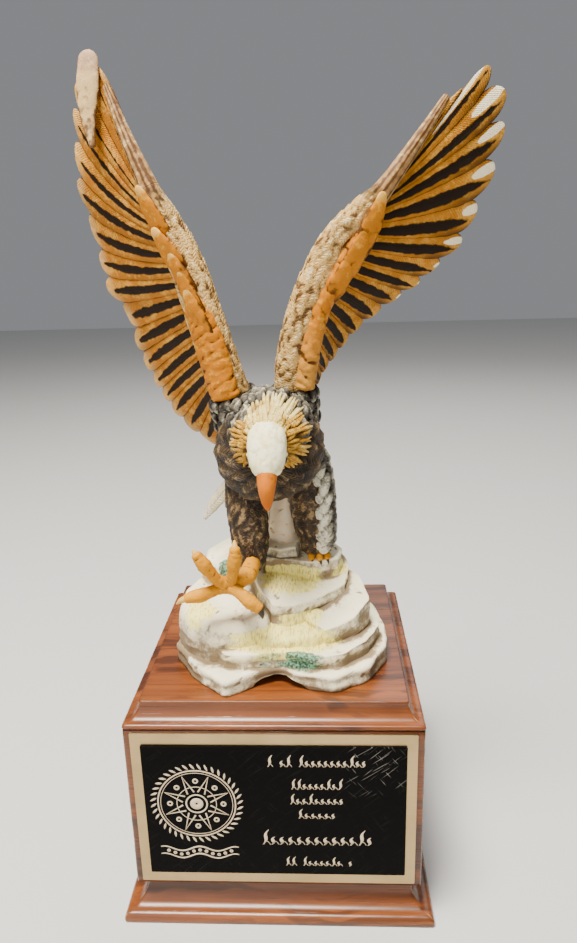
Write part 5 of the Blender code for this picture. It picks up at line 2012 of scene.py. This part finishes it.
def left_wing() -> Wing:
    """The wing on the viewer's left.

    Returns:
        The wing.
    """
    return Wing(
        Side.LEFT,
        edge=[(-12.5, -5, 146.5, 10.4, 7.6), (-17.5, -7.5, 163, 10.2, 7.2), (-23.5, -9, 184, 9.9, 6.8),
              (-31, -10, 209, 9.3, 6.2), (-39.5, -10, 228, 8.2, 5.4), (-50.5, -9, 246, 5.4, 4.4),
              (-64, -3, 272, 3.4, 3.2), (-75.5, 4, 297, 1.8, 1.8)],
        chord=(-0.88, 0.42, -0.22),
        roots=(0.74, 0.66, 0.54, 0.41, 0.30, 0.165, 0.01),
        tips=[(-79.5, 7, 305), (-87, 12, 314), (-96, 17, 301), (-99.5, 20, 289), (-101.5, 23, 271.5),
              (-103, 26, 254), (-98.5, 28, 233), (-95.5, 29, 216), (-93, 30, 200), (-83, 30, 185),
              (-79.5, 30, 170), (-75, 30, 157.5), (-70, 30, 146.5), (-65, 30, 138), (-60, 30, 129.5),
              (-51.5, 30, 119.5), (-41, 29, 112)],
        bow=[(1, 3, 1), (-6, 4, -6), (-4, 4, -6), (-1, 4, 0), (0, 4, 2), (0, 3, 2)],
        facing=[(-0.50, -0.84, 0.15), (-0.50, -0.85, 0.12), (-0.45, -0.88, 0.05), (-0.45, -0.88, 0)],
        shoulder=(-13, 3, 121, 14.5, 13),
        bars=(0.05, 0.08, 0.22, 0.30, 0.36, 0.38, 0.40, 0.44, 0.44, 0.44, 0.44, 0.40),
        patches=(0.0, 0.0), covert_reach=(2.0, 2.5, 2.5, 3.5, 7.0, 12.0, 16.0),
        ridge=[(-24.2, -8.2, 144.5, 7.8, 4.5), (-27.4, -8.2, 158, 8.1, 4.5), (-30.6, -8.4, 171, 8.0, 4.5),
               (-34.0, -8.6, 183, 7.4, 4.3), (-37.2, -8.4, 194, 6.4, 3.3), (-39.8, -7.4, 203, 4.6, 2.2)],
        leaves=[(5.8, (-46.0, -9.0, 220), (-61.0, -11.2, 246.5)), (5.8, (-40.4, -10.2, 206), (-54.0, -12.4, 227.0)),
                (5.6, (-37.2, -10.8, 197), (-47.2, -13.0, 216)), (5.6, (-34.2, -11.2, 187), (-43.4, -13.4, 208)),
                (6.2, (-31.0, -11.2, 176), (-40.4, -13.4, 198.5))],
        seed=101,
        lobe=[(-86.0, 2.5, 270, 1.6, 1.2), (-87.5, 4.5, 283, 3.9, 1.6), (-86.6, 5.6, 297, 5.6, 1.7),
              (-85.4, 6.5, 309, 5.0, 1.4)],
    )


def right_wing() -> Wing:
    """The wing on the viewer's right.

    Returns:
        The wing.
    """
    return Wing(
        Side.RIGHT,
        edge=[(3, -5, 148, 10.4, 7.6), (4.5, -6.5, 164, 10.2, 7.2), (9.5, -8, 184, 10, 6.8),
              (17, -9, 203, 9.6, 6.4), (27, -9, 220.5, 9, 5.6), (41, -8, 234.5, 7.4, 5), (54.5, -6, 246, 4.8, 4.2),
              (72, -1, 267, 3.2, 3), (87, 3.5, 286.5, 1.8, 1.8)],
        chord=(0.88, 0.46, -0.12),
        roots=(0.73, 0.66, 0.56, 0.46, 0.35, 0.23, 0.04),
        tips=[(92, 5, 287), (108.5, 9, 300.5), (119, 13, 289.5), (120.2, 16, 273), (116.6, 19, 253),
              (108.5, 21, 233), (101, 22, 218), (88.5, 23, 206.5), (79, 24, 198), (68, 24, 191), (57, 25, 183),
              (47, 25, 175), (40, 25, 167.5), (34, 25, 160), (29, 25, 153.5), (25.5, 25, 147.5), (23, 25, 141)],
        bow=[(0, 2, -1), (2, 3, -2), (3, 4, -4), (1, 4, 0), (1, 4, 1), (0, 3, 1)],
        facing=[(0.36, -0.92, 0.12), (0.36, -0.92, 0.10), (0.40, -0.91, 0.05), (0.45, -0.88, 0)],
        shoulder=(9, 3, 121, 14.5, 13),
        bars=(0.12, 0.34, 0.46, 0.48, 0.50, 0.50, 0.50, 0.52, 0.52, 0.50, 0.50, 0.42),
        patches=(0.0, 0.50, 0.26, 0.23, 0.22, 0.16, 0.20, 0.05, 0.03, 0.04, 0.0, 0.0, 0.0, 0.0, 0.0, 0.0, 0.0),
        covert_reach=(2.0, 2.5, 2.5, 3.0, 3.5, 5.0, 8.0),
        ridge=[(17.6, -6.4, 148.5, 4.4, 4.0), (20.0, -6.4, 163, 4.8, 4.0), (23.6, -6.6, 180, 4.8, 3.9),
               (28.0, -6.8, 191.5, 4.4, 3.8), (34.6, -7.0, 202.5, 4.4, 3.5), (41.0, -7.0, 213, 4.6, 3.0),
               (47.5, -7.0, 222, 3.8, 2.2)],
        leaves=[(5.6, (46.5, -7.6, 214), (57.0, -9.4, 240.5)), (5.6, (38.5, -8.2, 203), (50.0, -10.2, 226)),
                (5.2, (31.5, -8.6, 193), (42.0, -10.4, 213))],
        seed=202,
    )


# The studio


@dataclass
class Studio:
    """A plain pale floor, soft light, and the camera at the photograph's angle."""

    camera_place: Row = (0.0269, -0.3802, 0.3371)
    yaw: float = 0.0504
    pitch: float = -0.2801
    roll: float = -0.0268
    lens: float = 27.24
    floor_half: float = 4.0
    aim: Row = (0.0, 0.0, 0.22)
    lamps: tuple[tuple[str, Row, float, float, Colour], ...] = (
        ("Key light", (-0.24, -0.34, 1.50), 0.5, 66.0, (1.0, 0.94, 0.84)),
        ("Fill light", (-0.55, -1.20, 0.62), 1.2, 9.0, (1.0, 0.97, 0.93)),
        ("Back light", (0.3, 1.2, 1.3), 1.2, 8.0, (1.0, 0.98, 0.95)),
    )

    def build(self) -> None:
        """Makes the floor, the lights and the camera."""
        h = self.floor_half
        mesh = bpy.data.meshes.new("floor")
        mesh.from_pydata([(-h, -h, 0), (h, -h, 0), (h, h, 0), (-h, h, 0)], [], [(0, 1, 2, 3)])
        mesh.materials.append(Finish("Pale floor", {"Base Color": (0.62, 0.62, 0.61), "Roughness": 0.85}).material)
        self._place("floor", mesh, Matrix())
        for lamp in self.lamps:
            self._lamp(*lamp)
        world = bpy.data.worlds.new("Pale room")
        world.use_nodes = True
        background = world.node_tree.nodes["Background"]
        background.inputs["Color"].default_value = (0.93, 0.95, 1.0, 1.0)
        background.inputs["Strength"].default_value = 0.26
        bpy.context.scene.world = world
        data = bpy.data.cameras.new("Camera")
        data.lens = self.lens
        turn = Matrix.Rotation(self.yaw, 4, "Z") @ Matrix.Rotation(math.pi / 2 + self.pitch, 4, "X")
        matrix = Matrix.Translation(self.camera_place) @ turn @ Matrix.Rotation(self.roll, 4, "Z")
        bpy.context.scene.camera = self._place("Camera", data, matrix)

    @staticmethod
    def _place(name: str, data: bpy.types.ID, matrix: Matrix) -> bpy.types.Object:
        """Puts something into the scene.

        Args:
            name: Its name.
            data: Its mesh, lamp or camera.
            matrix: Its place and turn.

        Returns:
            The object.
        """
        made = bpy.data.objects.new(name, data)
        made.matrix_world = matrix
        bpy.context.scene.collection.objects.link(made)
        return made

    def _lamp(self, name: str, place: Row, size: float, power: float, colour: Colour) -> None:
        """Adds a soft lamp that faces the trophy.

        Args:
            name: Its name.
            place: Where it stands.
            size: Its width.
            power: Its power in watts.
            colour: Its colour.
        """
        data = bpy.data.lights.new(name, "AREA")
        data.shape = "SQUARE"
        data.size, data.energy, data.color = size, power, colour
        back = -unit(np.array(self.aim) - np.array(place))
        side = unit(np.cross(UPWARDS, back))
        matrix = np.eye(4)
        matrix[:3, :] = np.stack([side, np.cross(back, side), back, place], axis=-1)
        self._place(name, data, Matrix(matrix.tolist()))


def main() -> None:
    """Builds the trophy and its studio in order."""
    logging.basicConfig(level=logging.INFO, format="%(message)s")
    Studio().build()
    wings = [left_wing(), right_wing()]
    eagle = Eagle(shoulders=[wing.shoulder_knots() for wing in wings])
    for part in (Plinth(), NamePlate(), eagle, *wings):
        part.dress()
        part.build()


if __name__ == "__main__":
    main()
